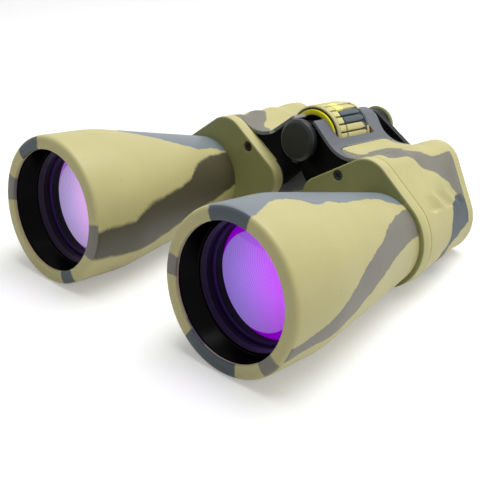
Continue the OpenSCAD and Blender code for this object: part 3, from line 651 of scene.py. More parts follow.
@dataclass(frozen=True)
class SaddleCoat:
    """Satin grey coat with a fine metallic grain and light edges that are partly bare wear and partly a
    painted highlight.
    """

    name: str
    colour: tuple = (0.118, 0.128, 0.145)

    def make(self) -> bpy.types.Material:
        """Builds the material."""
        n = Nodes(self.name)
        fine = n.noise(0.3, 3.0)
        shade = n.math("MULTIPLY", n.ranged(n.noise(14.0, 3.0), 0.93, 1.07), n.ranged(fine, 0.93, 1.07))
        # Light edges: partly bare worn metal, partly a painted highlight where the edges catch the light.
        edge = n.worn(0.6)
        tone = n.mix(n.math("MULTIPLY", edge, 0.75), self.colour, (0.5, 0.51, 0.5))
        n.set(
            Base_Color=n.tinted(tone, shade),
            Roughness=n.ranged(n.noise(3.0, 3.0), 0.36, 0.5),
            Metallic=0.25,
            Normal=n.bump(fine, 0.015),
        )
        return n.material


@dataclass(frozen=True)
class CoatedGlass:
    """Objective glass behind a violet coat, whose colour is a painted reflection with crescents and a glow
    though it is no lamp, with faint off-centre rings.
    """

    name: str
    centre: tuple
    middle: tuple
    side: tuple
    rim: tuple

    def make(self) -> bpy.types.Material:
        """Builds the material."""
        n = Nodes(self.name)
        x, _, z = n.parts(n.place)
        across = n.math("SUBTRACT", x, self.centre[0])
        rise = n.math("SUBTRACT", z, self.centre[1])
        flat = n.combined(across, 0.0, rise)
        # Painted reflection: the coat's colour sweeps from the side tone to the middle tone across the lens.
        lean = n.step(n.math("ADD", across, n.math("MULTIPLY", rise, 0.35)), -20.0, 14.0)
        colour = n.mix(lean, self.side, self.middle)
        # Painted reflection: crescents of the rim colour above a line and outside an off-centre disc.
        disc = n.vector("LENGTH", n.vector("SUBTRACT", flat, (-4.2, 0.0, -2.8)))
        upper = n.step(n.math("ADD", rise, n.math("MULTIPLY", across, 0.1)), 11.0, 11.4)
        colour = n.mix(n.math("MULTIPLY", upper, 0.25), colour, self.rim)
        colour = n.mix(n.step(disc, 20.0, 20.3), colour, self.rim)
        rings = n.vector("LENGTH", n.vector("SUBTRACT", flat, (14.0, 0.0, 12.0)))
        wave = n.math("SINE", n.math("MULTIPLY", rings, 5.2))
        shade = n.math("MULTIPLY", n.ranged(wave, 0.9, 1.06), n.ranged(n.noise(6.0, 2.0), 0.97, 1.03))
        n.set(
            Base_Color=n.tinted(colour, shade),
            Roughness=n.ranged(n.noise(4.0, 2.0), 0.7, 0.76),
            Metallic=1.0,
            # Painted glow: the coat emits its own colour, though the glass is no lamp.
            Emission_Color=colour,
            Emission_Strength=0.37,
            Coat_Weight=0.12,
            Coat_Roughness=0.04,
            Coat_Tint=(0.9, 0.8, 1.0),
        )
        return n.material


@dataclass(frozen=True)
class ClearGlass:
    """Polished glass of the prisms and the eyepiece lenses."""

    name: str
    colour: tuple = (0.86, 0.92, 0.95)

    def make(self) -> bpy.types.Material:
        """Builds the material."""
        n = Nodes(self.name)
        n.set(
            Base_Color=n.tinted(self.colour, n.ranged(n.noise(8.0), 0.96, 1.0)),
            Roughness=n.ranged(n.noise(1.2, 4.0), 0.0, 0.04),
            IOR=1.57,
            Transmission_Weight=0.85,
            Normal=n.bump(n.noise(5.0), 0.004),
        )
        return n.material


@dataclass(frozen=True)
class BrushedMetal:
    """Turned or brushed metal with fine marks around the Y axis."""

    name: str
    colour: tuple
    roughness: float = 0.34
    centre: tuple = (0.0, 0.0)

    def make(self) -> bpy.types.Material:
        """Builds the material."""
        n = Nodes(self.name)
        x, y, z = n.parts(n.place)
        reach = n.vector(
            "LENGTH",
            n.combined(n.math("SUBTRACT", x, self.centre[0]), 0.0, n.math("SUBTRACT", z, self.centre[1]))
        )
        marks = n.noise(
            0.35, 3.0, at=n.combined(n.math("MULTIPLY", reach, 2.0), n.math("MULTIPLY", y, 2.0), 0.0)
        )
        shade = n.math("MULTIPLY", n.ranged(marks, 0.85, 1.15), n.ranged(n.worn(), 1.0, 1.5))
        n.set(
            Base_Color=n.tinted(self.colour, shade),
            Roughness=n.ranged(n.noise(3.0), self.roughness - 0.08, self.roughness + 0.1),
            Metallic=1.0,
            Normal=n.bump(marks, 0.012),
        )
        return n.material


@dataclass(frozen=True)
class TyreCoat:
    """Khaki rubber of the focus wheel with two painted patches, told by the angle about the hinge, and
    painted shade in the grooves and on the front face.
    """

    name: str
    valley_r: float

    def make(self) -> bpy.types.Material:
        """Builds the material."""
        n = Nodes(self.name)
        x, y, z = n.parts(n.place)
        angle = n.math("MULTIPLY", n.math("ARCTAN2", z, x), 180.0 / math.pi)
        reach = n.vector("LENGTH", n.combined(x, 0.0, z))
        colour: Value = Paint.TAN.value
        wobble = n.ranged(n.noise(2.0, 3.0), -0.8, 0.8)
        edge = n.math("ADD", angle, wobble)
        front = n.math("ADD", y, n.math("MULTIPLY", wobble, 0.35))
        yellow = n.math("MULTIPLY", n.band(edge, 60.0, 90.0, 0.5), n.band(front, 17.9, 23.8, 0.2))
        colour = n.mix(yellow, colour, (0.86, 0.83, 0.25))
        foot = n.math("SUBTRACT", edge, n.math("MULTIPLY", n.step(y, 30.0, 33.2), -10.0))
        grey = n.math("MULTIPLY", n.band(foot, 34.0, 72.0, 0.5), n.step(edge, 62.8, 61.8))
        grey = n.math("MULTIPLY", grey, n.step(front, 18.0, 18.3))
        colour = n.mix(grey, colour, Paint.SLATE.value)
        # Painted shade: the floor between the ridges is darkened almost to black.
        groove = n.step(reach, self.valley_r + 0.3, self.valley_r + 0.05)
        groove_shade_span = n.band(y, 13.3, 34.9, 0.2)
        colour = n.mix(
            n.math("MULTIPLY", n.math("MULTIPLY", groove, groove_shade_span), 0.9), colour, (0.02, 0.018, 0.014)
        )
        # Painted shade: the front face inside the rim is black, standing for the shade in the gap beside the
        # index ring.
        face = n.math("MULTIPLY", n.step(y, 12.0, 11.85), n.step(reach, 14.1, 13.95))
        colour = n.mix(face, colour, (0.004, 0.004, 0.004))
        return coat(n, colour, sheen=0.5)


@dataclass(frozen=True)
class EndCapCoat:
    """Black face of the bridge's end cap, with an olive rim that is a painted reflection on its edge."""

    name: str
    rim_r: float = 8.3

    def make(self) -> bpy.types.Material:
        """Builds the material."""
        n = Nodes(self.name)
        x, _, z = n.parts(n.place)
        reach = n.vector("LENGTH", n.combined(x, 0.0, z))
        # Painted reflection: the thin rim outside rim_r is olive, standing for the light rim on the black
        # cap.
        colour = n.mix(n.step(reach, self.rim_r, self.rim_r + 0.15), (0.012, 0.012, 0.013), Paint.OLIVE.value)
        return coat(n, colour, sheen=0.45)


@dataclass(frozen=True)
class CellFinish:
    """Black inside of an objective, with a lighter front ring that is a painted highlight on the chamfer and
    a thin violet line around the bore that is a painted reflection of the coated glass.
    """

    name: str
    ring: tuple
    line: tuple

    def make(self) -> bpy.types.Material:
        """Builds the material."""
        n = Nodes(self.name)
        y = n.parts(n.place)[1]
        # Painted highlight: a lighter band over the cell's front chamfer.
        colour = n.mix(n.band(y, *self.ring, 0.15), (0.003, 0.003, 0.004), (0.038, 0.035, 0.046))
        # Painted reflection: a thin violet line of the coated glass on the black cell.
        colour = n.mix(n.band(y, *self.line, 0.08), colour, (0.05, 0.015, 0.14))
        n.set(
            Base_Color=n.tinted(colour, n.ranged(n.noise(2.0, 3.0), 0.85, 1.15)),
            Roughness=n.ranged(n.noise(1.0, 3.0), 0.28, 0.42),
            Normal=n.bump(n.noise(0.4, 2.0), 0.01),
            Specular_IOR_Level=0.12,
        )
        return n.material


# ---------------------------------------------------------------- places and outlines


def span(node: str) -> tuple:
    """Lowest and highest corner of a CAD node, in millimetres."""
    low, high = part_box(node)
    return np.array(low) / MM, np.array(high) / MM


def axis_of(node: str) -> tuple:
    """Place (x, z) of a round CAD node's axis, in millimetres."""
    low, high = span(node)
    return ((low[0] + high[0]) / 2, (low[2] + high[2]) / 2)


def along_y(node: str) -> tuple:
    """Front and back of a CAD node along Y, in millimetres."""
    low, high = span(node)
    return (float(low[1]), float(high[1]))


BARREL_AXIS = axis_of("left_objective_barrel")
EYE_AXIS = axis_of("left_eyepiece_guide")


@dataclass(frozen=True)
class Lobes:
    """Corner circles (x, z, radius) that an outline is pulled tight around."""

    circles: tuple

    def support(self, angle: float) -> tuple:
        """The circle and its point that lie furthest in one direction.

        Args:
            angle: Direction in radians.

        Returns:
            Index of the circle and the point (x, z).
        """
        way = np.array([math.cos(angle), math.sin(angle)])
        reach = [x * way[0] + z * way[1] + r for x, z, r in self.circles]
        index = int(np.argmax(reach))
        x, z, r = self.circles[index]
        return index, np.array([x, z]) + r * way


def paired(front: Lobes, rear: Lobes, turn: float = 1.5, length: float = 1.2) -> tuple:
    """Two outlines with the same number of points, matched by the way their sides face.

    Args:
        front: Circles of the first outline.
        rear: Circles of the second outline.
        turn: Degrees between points on an arc.
        length: Distance between points on a straight side.

    Returns:
        Points of both outlines and the outward directions at them, each (n, 2).
    """
    fine = 6
    count = int(360 / turn) * fine
    angles = [2 * math.pi * i / count - math.pi / 2 for i in range(count)]
    found = [(front.support(a), rear.support(a)) for a in angles]
    first, second, ways = [], [], []
    for i, angle in enumerate(angles):
        way = np.array([math.cos(angle), math.sin(angle)])
        (fi, fp), (ri, rp) = found[i]
        (fj, fq), (rj, rq) = found[(i + 1) % count]
        jump = fi != fj or ri != rj
        if i % fine == 0 or jump:
            first.append(fp)
            second.append(rp)
            ways.append(way)
        if jump:
            steps = max(2, int(max(np.linalg.norm(fq - fp), np.linalg.norm(rq - rp)) / length))
            for k in range(1, steps + 1):
                first.append(fp + (fq - fp) * k / steps)
                second.append(rp + (rq - rp) * k / steps)
                ways.append(way)
    return np.array(first), np.array(second), np.array(ways)


def raised(flat: np.ndarray, y: float | np.ndarray) -> np.ndarray:
    """Points (x, z) put at a place along Y."""
    return np.stack([flat[:, 0], np.broadcast_to(y, len(flat)), flat[:, 1]], 1)


def front_lobes() -> Lobes:
    """Circles of the front cover plate and of the housing's front end."""
    x, z = BARREL_AXIS
    return Lobes(((x, z, 22.4), (x - 11.0, z + 19.5, 13.5), (x - 35.5, z + 8.5, 9.5)))


def rear_lobes() -> Lobes:
    """Circles of the rear cover plate and of the housing's rear end."""
    x, z = BARREL_AXIS
    return Lobes(((x - 5.2, z - 0.8, 18.7), (x - 10.4, z + 21.6, 12.4), (*EYE_AXIS, 17.0)))


# ---------------------------------------------------------------- repeated shapes


class Tree:
    """A geometry node tree with named inputs that ends in Realize Instances and Set Material."""

    def __init__(self, name: str, inputs: dict) -> None:
        """Starts the tree.

        Args:
            name: Name of the tree.
            inputs: Socket type of each named input besides Finish.
        """
        self.tree = bpy.data.node_groups.new(name, "GeometryNodeTree")
        self.ids = {}
        self.tree.interface.new_socket("Geometry", in_out="INPUT", socket_type="NodeSocketGeometry")
        for title, kind in {**inputs, "Finish": "NodeSocketMaterial"}.items():
            made = self.tree.interface.new_socket(title, in_out="INPUT", socket_type=kind)
            self.ids[title] = made.identifier
        self.tree.interface.new_socket("Geometry", in_out="OUTPUT", socket_type="NodeSocketGeometry")
        self.input = self.tree.nodes.new("NodeGroupInput")

    def node(self, kind: str, operation: str = "", **values: Value) -> bpy.types.Node:
        """Adds a node and feeds its inputs by name.

        Args:
            kind: Type of the node.
            operation: Operation of a math node.
            values: Input values, named with underscores for spaces.

        Returns:
            The node.
        """
        made = self.tree.nodes.new(kind)
        if operation:
            made.operation = operation
        for title, value in values.items():
            key = int(title[1:]) if title[1:].isdigit() else title.replace("_", " ")
            if isinstance(value, bpy.types.NodeSocket):
                self.tree.links.new(value, made.inputs[key])
            else:
                made.inputs[key].default_value = value
        return made

    def math(self, operation: str, first: Value, second: Value = 0.0) -> Socket:
        """A number operation's result."""
        return self.node("ShaderNodeMath", operation, i0=first, i1=second).outputs[0]

    def finish(self, geometry: Socket) -> None:
        """Ends the tree."""
        real = self.node("GeometryNodeRealizeInstances", Geometry=geometry)
        painted = self.node(
            "GeometryNodeSetMaterial", Geometry=real.outputs[0], Material=self.input.outputs["Finish"]
        )
        out = self.tree.nodes.new("NodeGroupOutput")
        self.tree.links.new(painted.outputs[0], out.inputs[0])

    def grown(self, obj: bpy.types.Object, values: dict, material: bpy.types.Material, sharp: float) -> None:
        """Runs the tree on an object and keeps the result as its plain mesh.

        Args:
            obj: Object whose mesh the tree starts from.
            values: Value of each named input.
            material: Finish of the result.
            sharp: Angle in degrees above which an edge stays sharp.
        """
        modifier = obj.modifiers.new("grown", "NODES")
        modifier.node_group = self.tree
        for title, value in {**values, "Finish": material}.items():
            modifier[self.ids[title]] = value
        applied(obj, sharp)


def scatter_tree() -> Tree:
    """Tree that puts a template at each point, turned as the point's "turn" says."""
    t = Tree("scatter", {"Template": "NodeSocketObject", "Size": "NodeSocketFloat"})
    template = t.node("GeometryNodeObjectInfo", Object=t.input.outputs["Template"])
    turn = t.tree.nodes.new("GeometryNodeInputNamedAttribute")
    turn.data_type = "FLOAT_VECTOR"
    turn.inputs["Name"].default_value = "turn"
    euler = t.node("FunctionNodeEulerToRotation", Euler=turn.outputs[0])
    points = t.node("GeometryNodeMeshToPoints", Mesh=t.input.outputs["Geometry"])
    placed_ones = t.node(
        "GeometryNodeInstanceOnPoints",
        Points=points.outputs[0],
        Instance=template.outputs["Geometry"],
        Rotation=euler.outputs[0],
        Scale=t.input.outputs["Size"],
    )
    t.finish(placed_ones.outputs[0])
    return t


def ring_tree() -> Tree:
    """Tree that puts a template round an axis along Y, its X side outwards."""
    kinds = {
        "Template": "NodeSocketObject",
        "Count": "NodeSocketInt",
        "Radius": "NodeSocketFloat",
        "Start": "NodeSocketFloat",
        "Centre": "NodeSocketVector",
    }
    t = Tree("ring", kinds)
    index = t.tree.nodes.new("GeometryNodeInputIndex").outputs[0]
    share = t.math("DIVIDE", index, t.input.outputs["Count"])
    angle = t.math("ADD", t.math("MULTIPLY", share, 2 * math.pi), t.input.outputs["Start"])
    x = t.math("MULTIPLY", t.math("COSINE", angle), t.input.outputs["Radius"])
    z = t.math("MULTIPLY", t.math("SINE", angle), t.input.outputs["Radius"])
    spot = t.node("ShaderNodeCombineXYZ", X=x, Z=z)
    spot = t.node("ShaderNodeVectorMath", "ADD", i0=spot.outputs[0], i1=t.input.outputs["Centre"])
    points = t.node("GeometryNodePoints", Count=t.input.outputs["Count"], Position=spot.outputs[0])
    template = t.node("GeometryNodeObjectInfo", Object=t.input.outputs["Template"])
    turn = t.node("ShaderNodeCombineXYZ", Y=t.math("MULTIPLY", angle, -1.0))
    euler = t.node("FunctionNodeEulerToRotation", Euler=turn.outputs[0])
    placed_ones = t.node(
        "GeometryNodeInstanceOnPoints",
        Points=points.outputs[0],
        Instance=template.outputs["Geometry"],
        Rotation=euler.outputs[0],
    )
    t.finish(placed_ones.outputs[0])
    return t


@dataclass
class Repeats:
    """The two trees that repeat a template, and the calls that run them."""

    scatter: Tree
    ring: Tree

    def scattered(
        self, name: str, spots: Sequence[tuple], template: Shape, material: bpy.types.Material
    ) -> bpy.types.Object:
        """Copies of a template at given places.

        Args:
            name: Name of the result.
            spots: Places in millimetres and turns about X in radians.
            template: Shape of one copy, about the origin.
            material: Finish of all copies.

        Returns:
            One object of all copies.
        """
        one = as_object("template", template, material)
        mesh = bpy.data.meshes.new(name)
        mesh.from_pydata([tuple(v * MM for v in place) for place, _ in spots], [], [])
        turns = mesh.attributes.new("turn", "FLOAT_VECTOR", "POINT")
        for entry, (_, turn) in zip(turns.data, spots):
            entry.vector = turn
        obj = bpy.data.objects.new(name, mesh)
        bpy.context.scene.collection.objects.link(obj)
        self.scatter.grown(obj, {"Template": one, "Size": 1.0}, material, 35.0)
        bpy.data.objects.remove(one)
        return obj

    def around(
        self, name: str, template: Shape, material: bpy.types.Material, count: int, radius: float,
        start: float, centre: tuple
    ) -> bpy.types.Object:
        """Copies of a template round an axis along Y.

        Args:
            name: Name of the result.
            template: Shape of one copy, its X side outwards.
            material: Finish of all copies.
            count: Number of copies.
            radius: Distance of the copies' origins from the axis.
            start: Angle of the first copy in degrees.
            centre: Place (x, z) of the axis.

        Returns:
            One object of all copies.
        """
        one = as_object("template", template, material)
        obj = bpy.data.objects.new(name, bpy.data.meshes.new(name))
        bpy.context.scene.collection.objects.link(obj)
        values = {
            "Template": one,
            "Count": count,
            "Radius": radius * MM,
            "Start": math.radians(start),
            "Centre": (centre[0] * MM, 0.0, centre[1] * MM),
        }
        self.ring.grown(obj, values, material, 35.0)
        bpy.data.objects.remove(one)
        return obj


def bar(stations: Sequence[tuple], width: float, rounding: float, foot: float = -0.3) -> Shape:
    """A bar with rounded top edges, lying along Y, its top towards +X.

    Args:
        stations: Places (y, height, share of the width) from its front to its back.
        width: Width across Z.
        rounding: Rounding of the upper edges and ends.
        foot: Height of its underside.

    Returns:
        The bar.
    """
    first, last = stations[0], stations[-1]
    rows = [
        (first[0], first[1] - rounding, first[2]), (first[0] + rounding, *first[1:]), *stations[1:-1],
        (last[0] - rounding, *last[1:]), (last[0], last[1] - rounding, last[2]),
    ]
    loops = []
    for y, top, share in rows:
        half, soft = width * share / 2, min(rounding, top - foot - 0.05)
        side = [(foot, half), (top - soft, half), (top - soft * 0.3, half - soft * 0.3), (top, half - soft)]
        loops.append(np.array([[x, y, -z] for x, z in side] + [[x, y, z] for x, z in side[::-1]]))
    made = skin(loops)
    count, size = len(made.points), 8
    return Shape(made.points, made.faces + [tuple(range(size))[::-1], tuple(range(count - size, count))])


# ---------------------------------------------------------------- objective barrels

LEFT_BARREL = (
    Ribbon(
        Paint.BLUE_GREY,
        (
            (-102, 76.5), (-98, 77), (-93, 80), (-87, 84), (-84, 87), (-76, 85), (-70, 79), (-64, 74),
            (-54, 76.5), (-48, 73.5), (-28, 77.5), (-18, 76), (-13, 68), (-7, 64), (-2, 60)
        ),
        ((-102, 113.5), (-95, 116), (-80, 122), (-50, 128), (-20, 125), (-2, 120)),
    ),
    Ribbon(
        Paint.BROWN_GREY,
        (
            (-103, -30), (-99, -29), (-92, -26), (-84, -25), (-76, -24), (-48, -5), (-34, 7), (-21, 16),
            (-3, 21)
        ),
        (
            (-103, -18), (-98, -17), (-90, -13), (-81, -9), (-66, 6), (-59, 13), (-48, 23), (-39, 29),
            (-26, 44), (-3, 58)
        ),
    ),
    Ribbon(Paint.BLUE_GREY, ((-62, -92), (-40, -104), (-16, -92)), ((-62, -90), (-40, -66), (-16, -88))),
    Ribbon(
        Paint.BROWN_GREY, ((-78, 172), (-50, 158), (-22, 150), (-3, 146)),
        ((-78, 174), (-50, 186), (-22, 190), (-3, 176))
    ),
    Ribbon(
        Paint.BROWN_GREY, ((-103, -140), (-80, -134), (-56, -124)), ((-103, -112), (-80, -110), (-56, -122))
    ),
)
LEFT_FACE = (
    (Paint.SLATE, 76.5, 113.5),
    (Paint.BROWN_GREY, 169.0, 185.0),
    (Paint.SLATE, -128.0, -76.0),
    (Paint.BROWN_GREY, -50.0, -34.0),
)
RIGHT_BARREL = (
    # The first patch is brown in painted shade, darkened where the barrel faces the other barrel, with a soft
    # edge.
    Ribbon(
        Paint.BROWN_IN_PAINTED_SHADE,
        (
            (-103, -24), (-99, -24), (-88, -26), (-74, -28), (-67, -27), (-48, -18), (-29, -8), (-21, -8),
            (-14, -3), (-3, 4)
        ),
        (
            (-103, -2), (-95, 1), (-82, 1), (-77, 5), (-71, 11), (-56, 16), (-40, 25), (-35, 33), (-27, 42),
            (-19, 46), (-3, 51)
        ),
        2.2,
    ),
    Ribbon(
        Paint.BLUE_GREY,
        ((-64, 91), (-61, 89), (-49, 78), (-29, 61), (-23, 57), (-11, 58), (-8, 53), (-2, 52)),
        ((-64, 92), (-61, 96), (-50, 115), (-30, 122), (-2, 130)),
    ),
    Ribbon(Paint.BROWN_GREY, ((-103, 164), (-84, 160), (-58, 172)), ((-103, 186), (-84, 190), (-58, 174))),
    Ribbon(Paint.BLUE_GREY, ((-70, -112), (-44, -128), (-14, -112)), ((-70, -110), (-44, -84), (-14, -108))),
    Ribbon(Paint.BROWN_GREY, ((-40, 158), (-20, 150), (-3, 150)), ((-40, 160), (-20, 184), (-3, 194))),
)
RIGHT_FACE = (
    (Paint.SLATE, 108.0, 137.0),
    (Paint.BROWN_GREY, 163.0, 186.0),
    (Paint.SLATE, -71.0, -56.0),
    (Paint.BROWN_GREY, -25.0, 5.0),
)


@dataclass
class ObjectiveBarrel:
    """Flared barrel with its coat, its threaded black lining, its lens cell and its lenses."""

    half: Half
    lip_r: float = 33.0
    crease_r: float = 32.5
    lip_len: float = 28.0
    lip_round: float = 1.6
    neck_r: float = 20.4
    spigot_r: float = 19.0
    bore_r: float = 27.0
    seat_r: float = 26.6
    neck_bore_r: float = 17.2
    lining_t: float = 0.55
    thread_pitch: float = 0.86
    thread_depth: float = 0.26
    cell_r: float = 26.58
    cell_bore_r: float = 25.45
    chamfer: float = 2.4
    glass_r: float = 25.0
    bulge: float = 3.0

    def __post_init__(self) -> None:
        """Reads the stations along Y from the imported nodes."""
        self.front, spigot_back = along_y("left_objective_barrel")
        self.neck = along_y("left_front_cover")[0]
        self.spigot_back = spigot_back
        self.cell_front, self.cell_back = along_y("left_lens_cell")
        self.ring_front, self.ring_back = along_y("left_lens_ring")
        self.glass_front, self.crown_back = along_y("left_objective_crown")
        self.axis = BARREL_AXIS if self.half is Half.LEFT else (-BARREL_AXIS[0], BARREL_AXIS[1])

    def mouth(self) -> float:
        """Where the lining starts behind the rounded mouth."""
        return self.front + self.lip_round + 0.15

    def shell(self) -> Shape:
        """The coated shell, from the rounded lip to the neck."""
        inside = self.bore_r + self.lining_t
        outline = filleted(
            [
                (self.bore_r, self.mouth(), 0.1),
                (self.bore_r, self.front, self.lip_round * 2.0),
                (self.lip_r, self.front, self.lip_round * 1.7),
                (self.crease_r, self.front + self.lip_len, 5.0),
                (self.neck_r, self.neck, 0.15),
                (self.spigot_r, self.neck, 0.0),
                (self.spigot_r, self.spigot_back, 0.2),
                (self.neck_bore_r + self.lining_t, self.spigot_back, 0.0),
                (self.neck_bore_r + self.lining_t, self.neck, 0.0),
                (inside, self.cell_back, 0.0),
                (inside, self.mouth(), 0.0),
            ],
            steps=7,
        )
        return revolved(outline, BARREL_AXIS, 256)

    def lining(self) -> Shape:
        """The black lining with its thread in front of the lens cell."""
        inner = [(self.bore_r + 0.02, self.mouth())]
        y = self.mouth() + 0.7
        while y < self.cell_front - self.thread_pitch * 0.6:
            inner += [(self.bore_r, y), (self.bore_r + self.thread_depth, y + self.thread_pitch * 0.5)]
            y += self.thread_pitch
        inner += [
            (self.bore_r, self.cell_front),
            (self.seat_r, self.cell_front + 0.02),
            (self.seat_r, self.cell_back),
            (self.bore_r - 1.0, self.cell_back + 0.02),
            (self.neck_bore_r, self.neck),
            (self.neck_bore_r, self.spigot_back - 0.02),
            (self.neck_bore_r + self.lining_t - 0.02, self.spigot_back - 0.02),
            (self.neck_bore_r + self.lining_t - 0.02, self.neck),
            (self.bore_r + self.lining_t - 0.02, self.cell_back),
            (self.bore_r + self.lining_t - 0.02, self.mouth()),
        ]
        return revolved(inner, BARREL_AXIS, STEPS)

    def cell(self) -> Shape:
        """The lens cell with its chamfer at the front, which its finish paints lighter as a highlight."""
        outline = [
            (self.cell_r, self.cell_front + 0.5),
            (self.cell_r - 0.5, self.cell_front),
            (self.cell_bore_r, self.cell_front + self.chamfer),
            (self.cell_bore_r, self.ring_back - 0.01),
            (self.glass_r + 0.02, self.ring_back),
            (self.glass_r + 0.02, self.cell_back - 3.2),
            (self.glass_r - 1.6, self.cell_back - 3.2),
            (self.glass_r - 1.6, self.cell_back),
            (self.cell_r, self.cell_back),
        ]
        return revolved(outline, BARREL_AXIS, STEPS)

    def retaining_ring(self) -> Shape:
        """The ring that holds the lens, with two fine grooves."""
        outer, inner = self.cell_bore_r - 0.02, self.cell_bore_r - 1.42
        front, back = self.ring_front, self.ring_back
        outline = [(outer, front), (inner + 0.5, front), (inner + 0.1, front + 0.3), (inner, front + 0.8)]
        for y in (front + 1.6, front + 2.6):
            outline += [(inner, y), (inner + 0.2, y + 0.15), (inner + 0.2, y + 0.35), (inner, y + 0.5)]
        outline += [(inner, back), (outer, back)]
        return revolved(outline, BARREL_AXIS, STEPS)

    def glass_face(self, edge: float, height: float) -> list:
        """Points (radius, y) from the rim of a domed face to its middle."""
        curve = (self.glass_r**2 + height**2) / (2 * abs(height)) if height else 1e9
        side = -1.0 if height > 0 else 1.0
        radii = self.glass_r * np.cos(np.linspace(0, math.pi / 2, 26))
        return [(r, edge + side * (abs(height) - curve + math.sqrt(curve**2 - r * r))) for r in radii]

    def crown(self) -> Shape:
        """The front glass."""
        edge = self.glass_front + self.bulge
        back = self.crown_back - self.bulge
        face = self.glass_face(edge, self.bulge)
        rear = [(r, 2 * back - y) for r, y in self.glass_face(back, self.bulge)][::-1]
        return revolved(face + rear, BARREL_AXIS, STEPS)

    def make(
        self, coat_finish: bpy.types.Material, black: bpy.types.Material,
        cell_finish: bpy.types.Material, glass: bpy.types.Material, clear: bpy.types.Material
    ) -> None:
        """Builds and dresses the barrel and what it holds.

        Args:
            coat_finish: Camouflage coat of the shell.
            black: Finish of the lining.
            cell_finish: Finish of the lens cell and the ring.
            glass: Coated front glass.
            clear: Clear rear glass.
        """
        half, body = self.half, self.half.body
        node = half.named("objective_barrel")
        shell = as_object(half.named("barrel_shell"), self.shell().turned_to(half), coat_finish, 50)
        placed(shell, body, "barrel_armour", node)
        lining = as_object(half.named("barrel_lining"), self.lining().turned_to(half), black, 20)
        placed(lining, body, "black_metal", node)
        for piece, shape, finish, slot in (
            ("lens_cell", self.cell(), cell_finish, "black_metal"),
            ("lens_ring", self.retaining_ring(), cell_finish, "black_metal"),
            ("objective_crown", self.crown(), glass, "coated_glass"),
        ):
            made = as_object(half.named(f"{piece}_surface"), shape.turned_to(half), finish, 30)
            placed(made, body, slot, half.named(piece))
        dress(half.named("objective_flint"), clear)


def dress(node: str, material: bpy.types.Material) -> None:
    """Gives a CAD node that stays a better finish."""
    slots = frame["nodes"][node].material_slots
    for slot in slots:
        slot.link = "OBJECT"
        slot.material = material
    LOG.info("%s: dressed", node)


# ---------------------------------------------------------------- cover plates


@dataclass
class CoverPlate:
    """Olive plate that closes the prism housing at the front or at the back."""

    half: Half
    front: bool
    rounding: float = 0.95
    wall: float = 2.2
    seat_r: float = 2.5
    seat_depth: float = 1.8
    shank_r: float = 1.25

    def __post_init__(self) -> None:
        """Reads the plate's place and sets its hole and screws."""
        low, high = along_y("left_front_cover" if self.front else "left_rear_cover")
        self.face, self.back = (low, high) if self.front else (high, low)
        self.lobes = front_lobes() if self.front else rear_lobes()
        self.hole_at = BARREL_AXIS if self.front else EYE_AXIS
        self.hole_r = 19.02 if self.front else 13.97
        offsets = ((-26.2, 21.8),) if self.front else ((9.5, 2.0), (-7.0, 29.5), (-14.0, -12.0))
        self.screws = [(BARREL_AXIS[0] + x, BARREL_AXIS[1] + z) for x, z in offsets]

    def depth(self, by: float) -> float:
        """Place along Y at a depth under the face."""
        return self.face + by * (1 if self.front else -1)

    def shape(self) -> Shape:
        """The plate with its hole and its hollow back."""
        line, _, ways = paired(self.lobes, self.lobes)
        thick = abs(self.back - self.face)
        away = line - np.array(self.hole_at)
        angle = np.arctan2(away[:, 1], away[:, 0])
        hole = np.array(self.hole_at) + self.hole_r * np.stack([np.cos(angle), np.sin(angle)], 1)
        loops = [raised(hole, self.depth(0.0))]
        for part in np.linspace(0, math.pi / 2, 7):
            inset = self.rounding * (1 - math.sin(part))
            loops.append(raised(line - ways * inset, self.depth(self.rounding * (1 - math.cos(part)))))
        loops += [
            raised(line, self.depth(thick - 0.25)),
            raised(line - ways * 0.22, self.depth(thick)),
            raised(line - ways * self.wall, self.depth(thick)),
            raised(line - ways * self.wall, self.depth(self.wall)),
            raised(hole, self.depth(self.wall)),
        ]
        return skin(loops, ring=True)

    def seat(self, at: tuple) -> Shape:
        """The hole of one screw, as a closed cutter."""
        rim = self.seat_r
        outline = [
            (0.0, self.depth(-1.0)),
            (rim + 0.35, self.depth(-1.0)),
            (rim + 0.35, self.depth(0.0)),
            (rim, self.depth(0.3)),
            (rim, self.depth(self.seat_depth)),
            (self.shank_r, self.depth(self.seat_depth)),
            (self.shank_r, self.depth(self.wall + 1.0)),
            (0.0, self.depth(self.wall + 1.0)),
        ]
        return revolved(outline, at, 40)

    def make(self, finish: bpy.types.Material) -> None:
        """Builds the plate and cuts the screw seats.

        Args:
            finish: Coat of the plate.
        """
        piece = "front_cover" if self.front else "rear_cover"
        obj = as_object(self.half.named(f"{piece}_plate"), self.shape().turned_to(self.half), finish, 40)
        for at in self.screws:
            cut_by(obj, self.seat(at).turned_to(self.half), 40)
        placed(obj, self.half.body, "cover_plate", self.half.named(piece))


